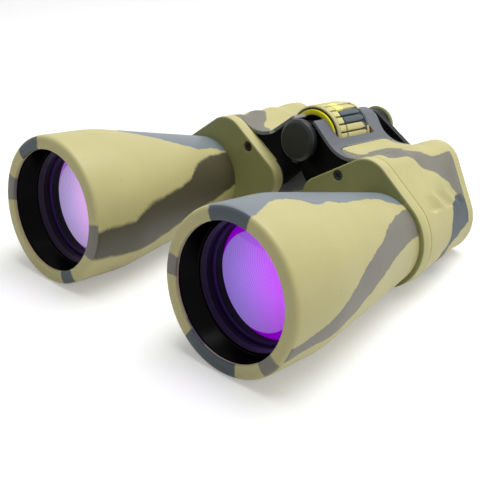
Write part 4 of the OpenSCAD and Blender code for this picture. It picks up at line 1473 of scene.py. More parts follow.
def cross_screw(
    head_r: float = 2.4, head_h: float = 1.4, shank_r: float = 1.2, shank_len: float = 9.0
) -> Shape:
    """A cover screw with a cross recess, its head towards -Y and its top at the origin."""
    arm, reach, depth, taper = 0.36, 1.45, 0.75, 0.72
    corners = []
    for k in range(4):
        a = k * math.pi / 2
        turn = np.array([[math.cos(a), -math.sin(a)], [math.sin(a), math.cos(a)]])
        for spot in ((reach, -arm), (reach, arm), (arm, arm)):
            corners.append(turn @ np.array(spot))
    cross = np.array(corners)
    dense = []
    for i, point in enumerate(cross):
        following = cross[(i + 1) % len(cross)]
        dense += [point + (following - point) * k / 3 for k in range(3)]
    cross = np.array(dense)
    way = cross / np.linalg.norm(cross, axis=1)[:, None]
    deep = raised(cross * taper, depth)
    top = raised(cross, 0.12)
    rings = [
        (head_r - 0.75, 0.0), (head_r - 0.25, 0.1), (head_r, 0.42), (head_r, head_h), (shank_r, head_h),
        (shank_r, head_h + shank_len),
    ]
    made = skin([deep, top] + [raised(way * r, y) for r, y in rings])
    count = len(cross)
    last = len(made.points) - count
    middle = Shape(np.array([[0.0, depth + 0.1, 0.0], [0.0, head_h + shank_len, 0.0]]), [])
    joined = made.joined(middle)
    a, b = len(made.points), len(made.points) + 1
    caps = [((i + 1) % count, i, a) for i in range(count)]
    caps += [(last + i, last + (i + 1) % count, b) for i in range(count)]
    return Shape(joined.points, joined.faces + caps)


@dataclass
class CoverScrews:
    """The four screws that hold one half's cover plates."""

    half: Half
    front: CoverPlate
    rear: CoverPlate
    sink: float = 0.4

    def make(self, repeats: Repeats, finish: bpy.types.Material) -> None:
        """Puts a screw into every seat.

        Args:
            repeats: Trees that repeat a template.
            finish: Blackened steel.
        """
        spots = []
        for plate, turn in ((self.front, 0.0), (self.rear, math.pi)):
            for number, (x, z) in enumerate(plate.screws):
                spots.append(
                    ((x * self.half.sign, plate.depth(self.sink), z), (turn, 0.4 + 0.55 * number, 0.0))
                )
        made = repeats.scattered(self.half.named("cover_screw_set"), spots, cross_screw(), finish)
        placed(made, self.half.body, "screw_black", self.half.named("cover_screws"))


# ---------------------------------------------------------------- housing armour and saddle

TONGUE_EDGE = (
    (2.0, 30.0), (3.5, 29.0), (4.1, 26.0), (4.8, 23.0), (5.6, 21.2), (6.7, 20.0), (8.4, 19.5), (14.0, 19.3),
    (40.0, 19.3), (43.0, 19.8), (44.9, 20.9), (46.5, 22.9), (47.7, 25.7), (50.5, 28.3),
)
REAR_EDGE = (
    (6.0, 52.0), (6.5, 51.9), (8.7, 50.7), (11.4, 48.7), (14.8, 47.0), (17.2, 46.75), (19.3, 47.2),
    (21.6, 47.6), (24.5, 48.3), (26.6, 49.5), (30.0, 49.5),
)

ARMOUR_PATCHES = {
    Half.LEFT: (
        Ribbon(
            Paint.BROWN_GREY,
            ((-18, -4), (-5, -4), (-4, -4), (-3, -4)),
            ((-18, 6), (-15.7, 7.5), (-13.4, 8.8), (-11, 10.7), (-8, 13), (-6.8, 16), (-3, 18)),
        ),
        Ribbon(
            Paint.BROWN_GREY,
            (
                (-9.4, 26), (-9, 20), (-8, 17.2), (-6.5, 14), (-5.5, -2), (3.5, -2), (4.8, 6), (7.9, 8.4),
                (9.9, 11.9), (12.2, 18.2), (14, 19.5), (16.3, 21.3), (19.5, 22.7), (22.1, 25.1),
                (24.2, 27.4), (26.3, 29.9), (28, 31.8), (29.3, 35), (30.5, 38.1), (32.8, 39.2),
                (35.5, 41.8), (38.1, 45.1), (40, 50)
            ),
            (
                (-9.4, 28), (-8.9, 33.4), (-6.5, 36.3), (0, 31.5), (5.8, 26.6), (9.1, 27.8), (11.7, 30.2),
                (14.4, 31.5), (15.5, 33.2), (16.1, 38), (16.6, 50), (17.5, 54), (40, 54)
            ),
        ),
        Ribbon(
            Paint.SLATE,
            (
                (37, 42), (37.8, 40.3), (41.3, 33.8), (44.8, 30.9), (48.7, 28.5), (52.7, 27.2), (56.6, 26.3),
                (60.1, 22.6), (62, 20), (78, 24), (90, 40)
            ),
            (
                (37, 46.5), (38.6, 48), (43, 52), (50.8, 52), (51.6, 48), (52.6, 45.8), (54.4, 40.1),
                (56.2, 37), (57.9, 31.5), (62, 28), (78, 36), (90, 44)
            ),
        ),
        Ribbon(
            Paint.BROWN_GREY, ((84, -4), (96, 4), (112, 14), (122, 18)),
            ((84, 4), (96, 18), (112, 30), (122, 20))
        ),
    ),
    Half.RIGHT: (
        Ribbon(
            Paint.BROWN_GREY,
            ((-18, -4), (6, -4), (8.9, 8.9), (9.8, 12.7), (14, 22), (15, 26)),
            (
                (-18, 5), (-12, 7), (-9.2, 10.4), (-6.5, 10.2), (-4, 11.8), (-0.7, 16.9), (2.6, 20.1),
                (6.7, 23.7), (15, 28)
            ),
        ),
        Ribbon(
            Paint.SLATE, ((28, 48), (36, 30), (50, 24), (62, 30)), ((28, 54), (36, 54), (50, 44), (62, 34))
        ),
        Ribbon(
            Paint.BROWN_GREY, ((66, -4), (80, 6), (96, 22), (104, 34)),
            ((66, 8), (80, 22), (96, 40), (104, 38))
        ),
    ),
}


def eased(edge: Sequence[tuple], place: float, smooth: float = 0.5) -> float:
    """An edge's second coordinate at its first, with the corners eased over a distance."""
    near = place + smooth * np.linspace(-1, 1, 7)
    return float(np.mean(np.interp(near, [p[0] for p in edge], [p[1] for p in edge])))


@dataclass(frozen=True)
class WingFace:
    """Top face of the wing: a knuckle around the hinge, a straight slope and a valley."""

    knuckle: float
    valley_x: float = 27.0
    valley_z: float = 15.1
    valley_r: float = 17.0

    def slope(self) -> float:
        """Direction in radians that the straight slope faces."""
        far = math.hypot(self.valley_x, self.valley_z)
        return math.atan2(self.valley_z, self.valley_x) + math.acos((self.knuckle + self.valley_r) / far)

    def height(self, x: float) -> float:
        """Height of the face at a place across the width."""
        a = self.slope()
        first = self.knuckle * math.cos(a)
        last = self.valley_x - self.valley_r * math.cos(a)
        if x <= first:
            return math.sqrt(max(self.knuckle**2 - x * x, 0.0))
        if x < last:
            top, foot = self.knuckle * math.sin(a), self.valley_z - self.valley_r * math.sin(a)
            return top + (foot - top) * (x - first) / (last - first)
        return self.valley_z - math.sqrt(max(self.valley_r**2 - (x - self.valley_x) ** 2, 0.0))

    def at_radius(self, radius: float) -> float:
        """Place across the width where the face is this far from the hinge axis."""
        places = np.linspace(self.knuckle * 0.3, 25.0, 800)
        reach = [math.hypot(x, self.height(x)) for x in places]
        return float(np.interp(radius, np.maximum.accumulate(reach), places))


def grid_faces(rows: int, columns: int, skipped: Callable[[int, int], bool] = lambda i, j: False) -> list:
    """Quads of a grid of rows and columns, without the skipped ones."""
    faces = []
    for i in range(rows - 1):
        for j in range(columns - 1):
            if not skipped(i, j):
                a = i * columns + j
                faces.append((a, a + 1, a + columns + 1, a + columns))
    return faces


def shelled(
    name: str, shape: Shape, material: bpy.types.Material, wall: float, edge: float,
    lay: np.ndarray | None = None
) -> bpy.types.Object:
    """A skin of even thickness with rounded edges, made from its outer face.

    Args:
        name: Name of the object.
        shape: Outer face as an open grid.
        material: Finish of the skin.
        wall: Thickness in millimetres.
        edge: Rounding of the edges in millimetres.
        lay: Value of the "lay" attribute at each point, if the finish reads it.

    Returns:
        The object.
    """
    mesh = bpy.data.meshes.new(name)
    mesh.from_pydata((shape.points * MM).tolist(), [], shape.faces)
    if lay is not None:
        entries = mesh.attributes.new("lay", "FLOAT_VECTOR", "POINT")
        entries.data.foreach_set("vector", lay.astype(np.float32).ravel())
    work = bmesh.new()
    work.from_mesh(mesh)
    loose = [v for v in work.verts if not v.link_faces]
    bmesh.ops.delete(work, geom=loose, context="VERTS")
    bmesh.ops.remove_doubles(work, verts=work.verts, dist=2e-6)
    work.to_mesh(mesh)
    work.free()
    obj = linked(name, mesh, material, 40)
    thick = obj.modifiers.new("wall", "SOLIDIFY")
    thick.thickness, thick.offset, thick.use_even_offset = wall * MM, -1.0, True
    bevel = obj.modifiers.new("edge", "BEVEL")
    bevel.width, bevel.segments, bevel.limit_method = edge * MM, 3, "ANGLE"
    bevel.angle_limit = math.radians(50)
    return applied(obj, 42)


@dataclass(frozen=True)
class Grip:
    """Finger recess with two soft ridges across it, by the length around the housing and by Y."""

    start: float = 0.4
    end: float = 41.6
    corner: float = 6.0
    deep: tuple = (1.1, 0.85, 0.75)
    front: tuple = ((0.0, 9.0), (5.0, 7.4), (13.0, 6.4), (32.0, 5.4), (42.0, 5.2))
    ridges: tuple = (
        ((0.0, 23.0), (21.8, 19.3), (29.9, 16.6), (33.8, 16.4), (37.4, 20.4), (42.0, 26.0)),
        ((0.0, 36.0), (17.7, 31.6), (25.6, 29.0), (29.4, 28.6), (33.4, 29.5), (38.1, 36.2), (42.0, 42.0)),
    )
    back: tuple = ((0.0, 47.5), (42.0, 47.5))

    def depth(self, s: np.ndarray, y: float) -> np.ndarray:
        """How deep the recess is at lengths s around the section."""
        lines = [
            np.interp(s, [p[0] for p in line], [p[1] for p in line])
            for line in (self.front, *self.ridges, self.back)
        ]
        total = np.zeros(len(s))
        for number, (low, high) in enumerate(zip(lines, lines[1:])):
            u = np.clip((y - low) / (high - low), 0.0, 1.0)
            rise = np.clip(u / (0.4 if number else 0.12), 0, 1)
            fall = np.clip((1.0 - u) / 0.6, 0, 1)
            total += self.deep[number] * rise * (2 - rise) * fall * fall * (3 - 2 * fall)
        drop = min(max((self.front[-1][1] + self.corner - y) / self.corner, 0.0), 1.0)
        end = self.end - self.corner * (1.0 - math.sqrt(1.0 - drop * drop))
        near, far = np.clip((s - self.start) / 1.0, 0, 1), np.clip((end - s) / 1.3, 0, 1)
        return total * near * (2 - near) * far * (2 - far)


GRIP = Grip()


@dataclass
class Armour:
    """Rubber armour around one prism housing, with a tongue that reaches over the wing."""

    half: Half
    front: float = 2.25
    blend: tuple = (2.55, 49.2)
    back: float = 49.5
    junction: float = 35.5
    under: tuple = (29.5, 26.0)
    wall: float = 1.6
    counts: tuple = (34, 10, 260)
    wing: WingFace = WingFace(11.8)

    def loft_row(self, y: float, count: int) -> np.ndarray:
        """Section of the housing at one place along Y, from the junction round to the wing's underside.

        Args:
            y: Place along Y.
            count: Number of points.

        Returns:
            Points (x, z), evenly spaced.
        """
        share = min(max((y - self.blend[0]) / (self.blend[1] - self.blend[0]), 0.0), 1.0)
        line = self.pair[0] * (1 - share) + self.pair[1] * share
        line = np.roll(line, -int(np.argmax(line[:, 1])), axis=0)[::-1]
        line = np.vstack([line[-1:], line])
        reach = np.concatenate([[0.0], np.cumsum(np.linalg.norm(np.diff(line, axis=0), axis=1))])
        tail = (reach > reach[-1] * 0.7) & (line[:, 1] > -18.0)
        ends = self.under[0] * (1 - share) + self.under[1] * share
        first, last = np.interp((self.junction, ends), line[tail][:, 0], reach[tail])
        places = np.linspace(first, last + reach[-1], count) % reach[-1]
        return np.stack([np.interp(places, reach, line[:, k]) for k in (0, 1)], 1)

    def outside(self) -> tuple:
        """The outer face as a grid, with its lengths around the section.

        Returns:
            The shape and the (length, y, 0) of each point.
        """
        self.pair = paired(front_lobes(), rear_lobes())[:2]
        rows = np.concatenate([
            np.arange(self.front, 10.0, 0.42), np.arange(10.0, 40.0, 0.5),
            np.arange(40.0, self.back, 0.35), [self.back],
        ])
        inner, outer, around = self.counts
        grid, lays = [], []
        for y in rows:
            start, middle = eased(TONGUE_EDGE, y), float(np.interp(y, (2.0, 12.0), (33.0, 31.5)))
            xs = np.concatenate(
                [np.linspace(start, middle, inner), np.linspace(middle, self.junction, outer)[1:]]
            )
            loft = self.loft_row(y, around)
            step = loft[0, 1] - self.wing.height(self.junction)
            zs = np.array([self.wing.height(x) for x in xs]) + step * np.clip(
                (xs - 30.0) / (self.junction - 30.0), 0, 1
            ) ** 2
            reach = np.concatenate([[0.0], np.cumsum(np.hypot(np.diff(loft[:, 0]), np.diff(loft[:, 1])))])
            way = np.gradient(loft, axis=0)
            way = np.stack([way[:, 1], -way[:, 0]], 1) / np.linalg.norm(way, axis=1)[:, None]
            loft = loft + way * GRIP.depth(reach, y)[:, None]
            back = np.concatenate([[0.0], np.cumsum(np.hypot(np.diff(xs), np.diff(zs)))])
            line = np.vstack([np.stack([xs, zs], 1), loft[1:]])
            lay = np.concatenate([back - back[-1], reach[1:]])
            grid.append(raised(line, y))
            lays.append(np.stack([lay, np.full(len(lay), y), np.zeros(len(lay))], 1))
        return Shape(np.vstack(grid), grid_faces(len(rows), len(grid[0]))), np.vstack(lays)

    def make(self, finish: bpy.types.Material) -> None:
        """Builds and dresses the armour."""
        shape, lay = self.outside()
        obj = shelled(
            self.half.named("housing_armour"), shape.turned_to(self.half), finish, self.wall, 0.32, lay
        )
        placed(obj, self.half.body, "housing_armour", self.half.named("armour"))


@dataclass
class Saddle:
    """Grey skin over one wing, with its front arm and its half of the window for the focus wheel."""

    half: Half
    front: float = 2.0
    window: tuple = (10.5, 39.7)
    tail: float = 52.0
    knuckles: tuple = (11.8, 10.1)
    cut_r: float = 15.3
    arm_end: float = 60.0
    crest: float = 113.0
    other_r: float = 12.1
    gap: float = 0.3
    wall: float = 1.6
    shell_in_r: float = 8.5

    def row(self, y: float, crest: float, count: int) -> np.ndarray:
        """Points (x, z) of the face at one place along Y, from its inner end to the armour's tongue.

        Args:
            y: Place along Y.
            crest: Angle of the inner end, or 0 where the face ends beside the other half's crest.
            count: Number of points on each stretch.

        Returns:
            The points.
        """
        share = min(max((y - self.window[0]) / (self.window[1] - self.window[0]), 0.0), 1.0)
        face = WingFace(self.knuckles[0] + (self.knuckles[1] - self.knuckles[0]) * share)
        cut = face.at_radius(self.cut_r)
        if crest:
            angles = np.radians(np.linspace(crest, math.degrees(face.slope()), count))
            line = [(face.knuckle * math.cos(a), face.knuckle * math.sin(a)) for a in angles]
            line += [(x, face.height(x)) for x in np.linspace(line[-1][0], cut, 9)[1:]]
        else:
            line = [(x, face.height(x)) for x in np.linspace(face.at_radius(self.other_r), cut, count + 8)]
        edge = eased(TONGUE_EDGE, y) - self.gap
        line += [(x, face.height(x)) for x in np.linspace(cut, edge, 34)[1:]]
        return np.array(line)

    def outside(self) -> Shape:
        """The outer face as a grid with the window left out; its last rows end on the hollowed rear edge."""
        first, last = self.window
        rows = np.concatenate([
            np.arange(self.front, 9.0, 0.3), np.linspace(9.0, first, 6)[:-1], [first, first + 0.02],
            np.linspace(first, last, 40)[1:-1], np.linspace(last, 42.0, 5)[:-1],
            np.linspace(42.0, self.tail, 30),
        ])
        crown = 26
        points = []
        for y in rows:
            rear = self.crest if self.half is Half.LEFT else 0.0
            row = raised(self.row(y, self.arm_end if y <= first else rear, crown), y)
            ends = np.array([eased(REAR_EDGE, max(x, 6.0), 0.8) for x in row[:, 0]])
            squeezed = 42.0 + (y - 42.0) / (self.tail - 42.0) * (ends - 42.0)
            row[:, 1] = np.where(y > 42.0, squeezed, y)
            points.append(row)

        def open_window(i: int, j: int) -> bool:
            """Whether a quad lies in the window."""
            return j < crown + 7 and first - 1e-6 <= rows[i] and rows[i + 1] <= last + 1e-6

        return Shape(np.vstack(points), grid_faces(len(rows), len(points[0]), open_window))

    def shell(self, front: float, back: float, knuckle: float, crest: float) -> Shape:
        """The part of the hinge's shell that lies under the skin."""
        steps, inner, outer = 40, self.shell_in_r, knuckle - 1.2
        low = WingFace(knuckle).slope() - math.radians(5)
        angles = np.linspace(low, math.radians(crest - 0.4), steps)
        ring = []
        for r, y in ((inner, front), (outer, front), (outer, back), (inner, back)):
            ring.append(np.stack([r * np.cos(angles), np.full(steps, y), r * np.sin(angles)], 1))
        made = skin(ring, closed=False, ring=True)
        ends = [tuple(k * steps for k in range(4)), tuple((k + 1) * steps - 1 for k in range(3, -1, -1))]
        return Shape(made.points, made.faces + ends)

    def make(self, finish: bpy.types.Material, black: bpy.types.Material) -> None:
        """Builds and dresses the saddle.

        Args:
            finish: Grey coat.
            black: Finish of the hinge's shell.
        """
        node = self.half.named("saddle")
        shape = self.outside().turned_to(self.half)
        top = shelled(self.half.named("wing_saddle"), shape, finish, self.wall, 0.28)
        placed(top, self.half.body, "saddle_grey", node)
        shells = self.shell(self.front + 0.35, self.window[0] - 0.3, self.knuckles[0], self.arm_end)
        if self.half is Half.LEFT:
            shells = shells.joined(
                self.shell(self.window[1] + 0.3, self.tail - 0.35, self.knuckles[1], self.crest)
            )
        hinge = as_object(self.half.named("hinge_shell"), shells.turned_to(self.half), black, 40)
        placed(hinge, self.half.body, "housing_black", node)


# ---------------------------------------------------------------- focus wheel and tripod cap


@dataclass
class FocusWheel:
    """Ridged rubber tyre on a metal core, with a yellow index ring in front."""

    outer_r: float = 15.0
    floor_r: float = 13.9
    core_r: float = 13.0
    rear_r: float = 14.2
    ring_w: float = 2.4
    ridges: int = 24
    ridge_w: float = 2.95
    block_len: float = 4.6
    groove: float = 0.8
    rim: float = 1.6
    start: float = 12.0

    def __post_init__(self) -> None:
        """Reads the wheel's place."""
        self.front, self.back = along_y("focus_wheel_tyre")

    def tyre(self) -> Shape:
        """The tyre without its ridges."""
        end = self.back - self.rim - 0.6
        outline = filleted([
            (self.core_r + 0.02, self.front, 0.1), (self.outer_r - 0.45, self.front, 0.4),
            (self.outer_r, self.front + 0.9, 0.6),
            (self.outer_r, self.front + self.rim, 0.2), (self.floor_r, self.front + self.rim, 0.1),
            (self.floor_r, end, 0.1),
            (self.rear_r + 0.25, end, 0.2), (self.rear_r, self.back, 0.5),
            (self.core_r + 0.02, self.back, 0.1),
        ])
        return revolved(outline, (0.0, 0.0), STEPS)

    def index_ring(self) -> Shape:
        """The ring in front of the core."""
        low, high = along_y("focus_index_ring")
        outline = filleted([
            (self.core_r, high, 0.0), (self.core_r, low, 0.3), (self.core_r - self.ring_w, low, 0.25),
            (self.core_r - self.ring_w, high, 0.0),
        ])
        return revolved(outline, (0.0, 0.0), STEPS)

    def make(
        self, repeats: Repeats, tyre: bpy.types.Material, ring: bpy.types.Material, core: bpy.types.Material
    ) -> None:
        """Builds and dresses the wheel.

        Args:
            repeats: Trees that repeat a template.
            tyre: Finish of the tyre.
            ring: Finish of the index ring.
            core: Finish of the core.
        """
        node, body = "focus_wheel_tyre", "focus_wheel"
        placed(as_object("wheel_tyre", self.tyre(), tyre, 35), body, "wheel_tyre", node)
        top, low = self.outer_r - self.floor_r, self.rear_r - self.floor_r
        first = self.front + self.rim + 0.15
        second, last = first + self.block_len + self.groove, self.back - self.rim - 0.75
        short = bar(((first, top, 1.0), (first + self.block_len, top, 1.0)), self.ridge_w, 0.3)
        slope = ((last - 4.6, top, 1.0), (last - 1.6, top - 0.35, 0.8), (last, low + 0.1, 0.5))
        long = bar(((second, top, 1.0), *slope), self.ridge_w, 0.3)
        for name, shape in (("wheel_blocks", short), ("wheel_ridges", long)):
            made = repeats.around(name, shape, tyre, self.ridges, self.floor_r, self.start, (0.0, 0.0))
            placed(made, body, "wheel_tyre", node)
        index = as_object("wheel_index", self.index_ring(), ring, 35)
        placed(index, body, "index_yellow", "focus_index_ring")
        placed(smooth_copy("focus_wheel_core", core), body, "wheel_core", "focus_wheel_core")


@dataclass
class TripodCap:
    """Cap over the tripod socket, with a small tab for the thumbnail."""

    radius: float = 9.9
    bore: float = 8.45
    bevel: float = 1.5
    floor: float = -0.3

    def cap(self) -> Shape:
        """The round cap."""
        front, back = along_y("tripod_cap")
        side = filleted([
            (self.radius * 0.5, front, 0.0), (self.radius - self.bevel, front, 0.5),
            (self.radius, front + self.bevel * 0.8, 0.7), (self.radius, back, 0.5),
            (self.bore, back, 0.2), (self.bore, self.floor, 0.2), (self.radius * 0.5, self.floor, 0.0),
        ], 7)
        return revolved([(0.0, front), *side, (0.0, self.floor)], (0.0, 0.0), STEPS)

    def tab(self) -> Shape:
        """The tab under the cap's edge."""
        made = bar(
            ((-1.7, self.radius + 0.6, 1.0), (-0.3, self.radius + 0.6, 1.0)), 3.0, 0.35, self.radius - 1.2
        )
        return Shape(made.points[:, [2, 1, 0]] * np.array([1.0, 1.0, -1.0]), made.faces)

    def make(self, finish: bpy.types.Material) -> None:
        """Builds and dresses the cap."""
        placed(as_object("cap_disc", self.cap(), finish, 35), "tripod_cap", "cap_black", "tripod_cap")
        placed(as_object("cap_tab", self.tab(), finish, 35), "tripod_cap", "cap_black", "tripod_cap")


# ---------------------------------------------------------------- eyepieces and bridge


@dataclass
class Eyepiece:
    """Rubber eyecup with fine ribs, and the ring in front of it."""

    half: Half
    cup_r: float = 16.1
    waist_r: float = 15.3
    mouth_r: float = 16.8
    cup_bore_r: float = 13.87
    eye_r: float = 9.7
    ring_bore_r: float = 13.9
    trim_r: float = 16.8
    dioptre_r: float = 16.3
    ribs: int = 60
    ring_ribs: int = 36

    def __post_init__(self) -> None:
        """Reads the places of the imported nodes."""
        self.ring_node = "left_trim_ring" if self.half is Half.LEFT else "right_dioptre_ring"
        self.cup_front, self.cup_back = along_y("left_eyecup")
        self.ring_front, self.ring_back = along_y("left_trim_ring")
        self.axis = (EYE_AXIS[0] * self.half.sign, EYE_AXIS[1])

    def cup(self) -> Shape:
        """The eyecup, softly rounded at its mouth."""
        a, b = self.cup_front, self.cup_back
        outline = filleted([
            (self.cup_bore_r, a, 0.1), (self.cup_r, a, 0.5), (self.cup_r, a + 3.6, 0.4),
            (self.waist_r, a + 4.3, 0.4), (self.waist_r, a + 5.0, 0.4), (self.cup_r, a + 6.1, 0.6),
            (self.mouth_r, b - 1.2, 1.0), (16.0, b, 0.8), (15.2, b - 0.5, 0.5), (12.8, a + 6.6, 0.8),
            (self.eye_r, a + 6.6, 0.3), (self.eye_r, a + 5.4, 0.1), (self.cup_bore_r, a + 5.4, 0.1),
        ])
        return revolved(outline, EYE_AXIS, STEPS)

    def ring(self) -> Shape:
        """The trim ring or the body of the dioptre ring."""
        a, b = self.ring_front, self.ring_back
        top = self.trim_r if self.half is Half.LEFT else self.dioptre_r
        corners = [(self.ring_bore_r, a, 0.1), (top, a, 0.6)]
        if self.half is Half.LEFT:
            for y in (a + 1.4, a + 2.7):
                corners += [
                    (top, y, 0.1), (top - 0.35, y + 0.15, 0.1), (top - 0.35, y + 0.45, 0.1),
                    (top, y + 0.6, 0.1)
                ]
        corners += [(top, b, 0.6), (self.ring_bore_r, b, 0.1)]
        return revolved(filleted(corners), EYE_AXIS, STEPS)

    def make(self, repeats: Repeats, rubber: bpy.types.Material, metal: bpy.types.Material) -> None:
        """Builds and dresses the eyecup and the ring.

        Args:
            repeats: Trees that repeat a template.
            rubber: Finish of the eyecup.
            metal: Finish of the ring.
        """
        half = self.half
        cup_node, cup_body = half.named("eyecup"), "left_eyepiece" if half is Half.LEFT else "right_ocular"
        ring_body = "left_eyepiece" if half is Half.LEFT else "right_dioptre"
        cup = as_object(half.named("cup_rubber"), self.cup().turned_to(half), rubber, 35)
        placed(cup, cup_body, "soft_rubber", cup_node)
        rib = bar(((self.cup_front + 0.7, 0.22, 1.0), (self.cup_front + 3.1, 0.22, 1.0)), 0.8, 0.14, -0.2)
        made = repeats.around(half.named("cup_ribs"), rib, rubber, self.ribs, self.cup_r, 0.0, self.axis)
        placed(made, cup_body, "soft_rubber", cup_node)
        ring = as_object(f"{self.ring_node}_body", self.ring().turned_to(half), metal, 35)
        placed(ring, ring_body, "black_metal", self.ring_node)
        if half is Half.RIGHT:
            ridge = bar(
                ((self.ring_front + 0.7, 0.5, 1.0), (self.ring_back - 0.7, 0.5, 1.0)), 1.7, 0.25, -0.2
            )
            made = repeats.around(
                "dioptre_ridges", ridge, metal, self.ring_ribs, self.dioptre_r, 0.0, self.axis
            )
            placed(made, ring_body, "black_metal", self.ring_node)


# ---------------------------------------------------------------- surroundings


@dataclass
class Studio:
    """White table, soft lamps and the camera."""

    camera_at: tuple = (0.2500, -0.3215, 0.1028)
    azimuth: float = 41.11
    elevation: float = 20.84
    roll: float = 5.07
    lens: float = 67.27
    floor_z: float = -63.9
    floor_rise: float = 0.104
    floor_reach: float = 6.0
    fill: float = 0.22

    def camera(self) -> None:
        """Adds the camera."""
        az, el, roll = (math.radians(v) for v in (self.azimuth, self.elevation, self.roll))
        ahead = Vector((-math.sin(az) * math.cos(el), math.cos(az) * math.cos(el), -math.sin(el)))
        right = Vector((math.cos(az), math.sin(az), 0.0))
        up = right.cross(ahead)
        turned_right = right * math.cos(roll) + up * math.sin(roll)
        turned_up = up * math.cos(roll) - right * math.sin(roll)
        data = bpy.data.cameras.new("camera")
        data.lens, data.sensor_width = self.lens, 36.0
        camera = bpy.data.objects.new("camera", data)
        turn = Matrix((turned_right, turned_up, -ahead)).transposed().to_4x4()
        camera.matrix_world = Matrix.Translation(Vector(self.camera_at)) @ turn
        bpy.context.scene.collection.objects.link(camera)
        bpy.context.scene.camera = camera

    def table_finish(self) -> bpy.types.Material:
        """Matt white that shows white to the camera and keeps shadows."""
        n = Nodes("table_white")
        tone = n.ranged(n.noise(40.0, 3.0), 0.80, 0.83)
        path = n.tree.nodes.new("ShaderNodeLightPath")
        seen = n.math("MAXIMUM", path.outputs["Is Camera Ray"], path.outputs["Is Glossy Ray"])
        seen = n.math("MAXIMUM", seen, path.outputs["Is Transmission Ray"])
        n.set(
            Base_Color=n.combined(tone, tone, tone),
            Roughness=0.9,
            Specular_IOR_Level=0.0,
            Emission_Color=(1.0, 1.0, 1.0),
            Emission_Strength=n.math("MULTIPLY", seen, 0.3),
        )
        return n.material

    def table(self) -> None:
        """Adds the table, which leans with the plane that the object stands on."""
        reach, corners = self.floor_reach, []
        for x, y in ((-reach, -reach), (reach, -reach), (reach, reach), (-reach, reach)):
            corners.append((x, y, self.floor_z * MM + self.floor_rise * (y + 100.0 * MM)))
        mesh = bpy.data.meshes.new("table")
        mesh.from_pydata(corners, [], [(0, 1, 2, 3)])
        mesh.materials.append(self.table_finish())
        obj = bpy.data.objects.new("table", mesh)
        bpy.context.scene.collection.objects.link(obj)

    def world(self) -> None:
        """Adds the white surroundings."""
        world = bpy.data.worlds.new("studio")
        bpy.context.scene.world = world
        world.use_nodes = True
        tree = world.node_tree
        back = tree.nodes["Background"]
        back.inputs["Color"].default_value = (1.0, 1.0, 1.0, 1.0)
        path = tree.nodes.new("ShaderNodeLightPath")
        seen = path.outputs["Is Camera Ray"]
        for ray in ("Is Glossy Ray", "Is Transmission Ray"):
            either = tree.nodes.new("ShaderNodeMath")
            either.operation = "MAXIMUM"
            tree.links.new(seen, either.inputs[0])
            tree.links.new(path.outputs[ray], either.inputs[1])
            seen = either.outputs[0]
        level = tree.nodes.new("ShaderNodeMapRange")
        level.inputs["To Min"].default_value = self.fill
        level.inputs["To Max"].default_value = 1.0
        tree.links.new(seen, level.inputs["Value"])
        tree.links.new(level.outputs["Result"], back.inputs["Strength"])

    def lamp(self, name: str, at: tuple, aim: tuple, size: float, power: float) -> None:
        """Adds one soft square lamp.

        Args:
            name: Name of the lamp.
            at: Place in metres.
            aim: Point that it faces, in metres.
            size: Side in metres.
            power: Power in watts.
        """
        data = bpy.data.lights.new(name, "AREA")
        data.size, data.energy = size, power
        obj = bpy.data.objects.new(name, data)
        obj.location = at
        obj.rotation_mode = "QUATERNION"
        obj.rotation_quaternion = (Vector(aim) - Vector(at)).to_track_quat("-Z", "Y")
        bpy.context.scene.collection.objects.link(obj)

    def make(self) -> None:
        """Sets up the camera, the table, the world and the lamps."""
        view = bpy.context.scene.view_settings
        view.view_transform = "Standard"
        self.camera()
        self.table()
        self.world()
        self.lamp("top", (0.1, 0.1, 1.1), (0.0, -0.03, 0.0), 1.0, 14.5)
        self.lamp("side", (1.1, 0.0, 0.6), (0.0, -0.03, -0.02), 0.7, 1.6)


# ---------------------------------------------------------------- the whole object


@dataclass
class Finishes:
    """Every finish that more than one piece shares."""

    black: bpy.types.Material
    lining: bpy.types.Material
    cell: bpy.types.Material
    clear: bpy.types.Material
    rubber: bpy.types.Material
    grey: bpy.types.Material
    screw: bpy.types.Material
    steel: bpy.types.Material
    spring: bpy.types.Material
    brass: bpy.types.Material
    washer: bpy.types.Material
    housing: bpy.types.Material

    @classmethod
    def mixed(cls) -> "Finishes":
        """Makes all shared finishes."""
        return cls(
            black=PlainFinish(
                "black_anodised", (0.008, 0.008, 0.009), 0.36, 0.0, 0.25, 0.01, shine=0.2
            ).make(),
            lining=PlainFinish(
                "black_lining", (0.0006, 0.0006, 0.0008), 0.22, 0.0, 0.3, 0.008, edge=1.1, shine=0.06
            ).make(),
            # Places along Y of the cell's painted highlight band and painted violet reflection line.
            cell=CellFinish("cell_black", (-89.0, -85.6), (-82.6, -82.0)).make(),
            clear=ClearGlass("clear_glass").make(),
            rubber=PlainFinish("soft_rubber", (0.011, 0.011, 0.011), 0.75, 0.0, 0.3, 0.03, shine=0.2).make(),
            grey=SaddleCoat("saddle_grey").make(),
            screw=PlainFinish("screw_black", (0.02, 0.02, 0.021), 0.35, 0.6, 0.2, 0.01).make(),
            steel=BrushedMetal("hinge_steel", (0.33, 0.33, 0.34)).make(),
            spring=BrushedMetal("spring_steel", (0.5, 0.49, 0.46)).make(),
            brass=BrushedMetal("brass", (0.62, 0.45, 0.18)).make(),
            washer=PlainFinish("washer_nylon", (0.5, 0.5, 0.48), 0.45).make(),
            housing=PlainFinish(
                "housing_black", (0.0015, 0.0015, 0.0017), 0.5, 0.0, 0.4, 0.025, shine=0.05
            ).make(),
        )


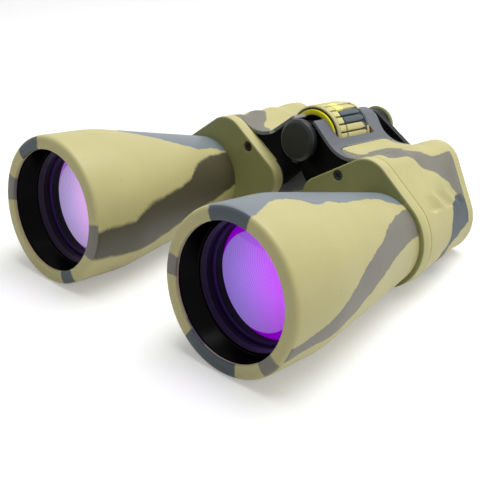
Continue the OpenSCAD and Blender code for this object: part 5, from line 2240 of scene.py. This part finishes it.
def dress_inside(finishes: Finishes) -> None:
    """Dresses the CAD nodes whose shapes are right as they are."""
    for half in Half:
        for piece, finish in (
            ("prism_shelf", finishes.black),
            ("front_prism", finishes.clear),
            ("rear_prism", finishes.clear),
            ("prism_straps", finishes.spring),
            ("field_lens", finishes.clear),
            ("eye_lens", finishes.clear),
        ):
            dress(half.named(piece), finish)
        for piece, finish, slot, sharp in (
            ("prism_housing", finishes.housing, "housing_black", 30.0),
            ("eyepiece_guide", finishes.black, "black_metal", 30.0),
            ("bridge_arm", finishes.black, "black_metal", 30.0),
            ("ocular_barrel", finishes.black, "black_metal", 30.0),
        ):
            node = half.named(piece)
            body = body_of(frame["nodes"][node])[0]
            placed(smooth_copy(node, finish, sharp), body, slot, node)
    for node, finish, slot in (
        ("tripod_post", finishes.steel, "hinge_steel"),
        ("hinge_sleeve", finishes.steel, "hinge_steel"),
        ("bridge_tube", finishes.steel, "hinge_steel"),
        ("hinge_washers", finishes.washer, "washer"),
        ("drive_screw", finishes.brass, "brass"),
    ):
        placed(smooth_copy(node, finish), body_of(frame["nodes"][node])[0], slot, node)


def main() -> None:
    """Builds the binoculars, piece by piece."""
    logging.basicConfig(level=logging.INFO, format="%(message)s")
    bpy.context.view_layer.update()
    repeats = Repeats(scatter_tree(), ring_tree())
    finishes = Finishes.mixed()
    right_axis = (-BARREL_AXIS[0], BARREL_AXIS[1])
    # Colours of each lens's painted reflection: middle, side and rim, also used as its glow.
    glass = {
        Half.LEFT: CoatedGlass(
            "glass_left", BARREL_AXIS, (0.66, 0.11, 1.0), (0.48, 0.30, 1.0), (0.42, 0.0, 0.85)
        ),
        Half.RIGHT: CoatedGlass(
            "glass_right", right_axis, (1.0, 0.52, 0.98), (0.70, 0.56, 1.0), (0.62, 0.24, 0.95)
        ),
    }
    coats = {
        Half.LEFT: BarrelCamouflage("barrel_coat_left", BARREL_AXIS, LEFT_FACE, LEFT_BARREL),
        Half.RIGHT: BarrelCamouflage("barrel_coat_right", right_axis, RIGHT_FACE, RIGHT_BARREL),
    }
    for half in Half:
        ObjectiveBarrel(half).make(
            coats[half].make(), finishes.lining, finishes.cell, glass[half].make(), finishes.clear
        )
        front, rear = CoverPlate(half, True), CoverPlate(half, False)
        front.make(CoverCoat(half.named("front_cover_coat"), front.face, -1).make())
        rear.make(CoverCoat(half.named("rear_cover_coat"), rear.face, 1).make())
        CoverScrews(half, front, rear).make(repeats, finishes.screw)
        Armour(half).make(ArmourCamouflage(half.named("armour_coat"), ARMOUR_PATCHES[half]).make())
        Saddle(half).make(finishes.grey, finishes.housing)
        Eyepiece(half).make(repeats, finishes.rubber, finishes.black)
    FocusWheel().make(
        repeats,
        TyreCoat("tyre_coat", FocusWheel.floor_r).make(),
        PlainFinish("index_yellow", (0.86, 0.79, 0.0), 0.28, mottle=0.04, edge=1.05).make(),
        # Painted shade: the core's dark orange stands for the shade in the wheel's dished front.
        BrushedMetal("wheel_core_shaded_orange", (0.50, 0.22, 0.02)).make(),
    )
    # The cap's edges are lightened up to 2.4 times: partly wear, partly a painted highlight on its bevel.
    TripodCap().make(
        PlainFinish("cap_black", (0.011, 0.013, 0.014), 0.38, 0.0, 0.3, 0.012, edge=2.4, shine=0.3).make()
    )
    cap_coat = EndCapCoat("end_cap_coat").make()
    cap_body = body_of(frame["nodes"]["bridge_end_cap"])[0]
    placed(smooth_copy("bridge_end_cap", cap_coat), cap_body, "cover_plate", "bridge_end_cap")
    dress_inside(finishes)
    Studio().make()


if __name__ == "__main__":
    main()
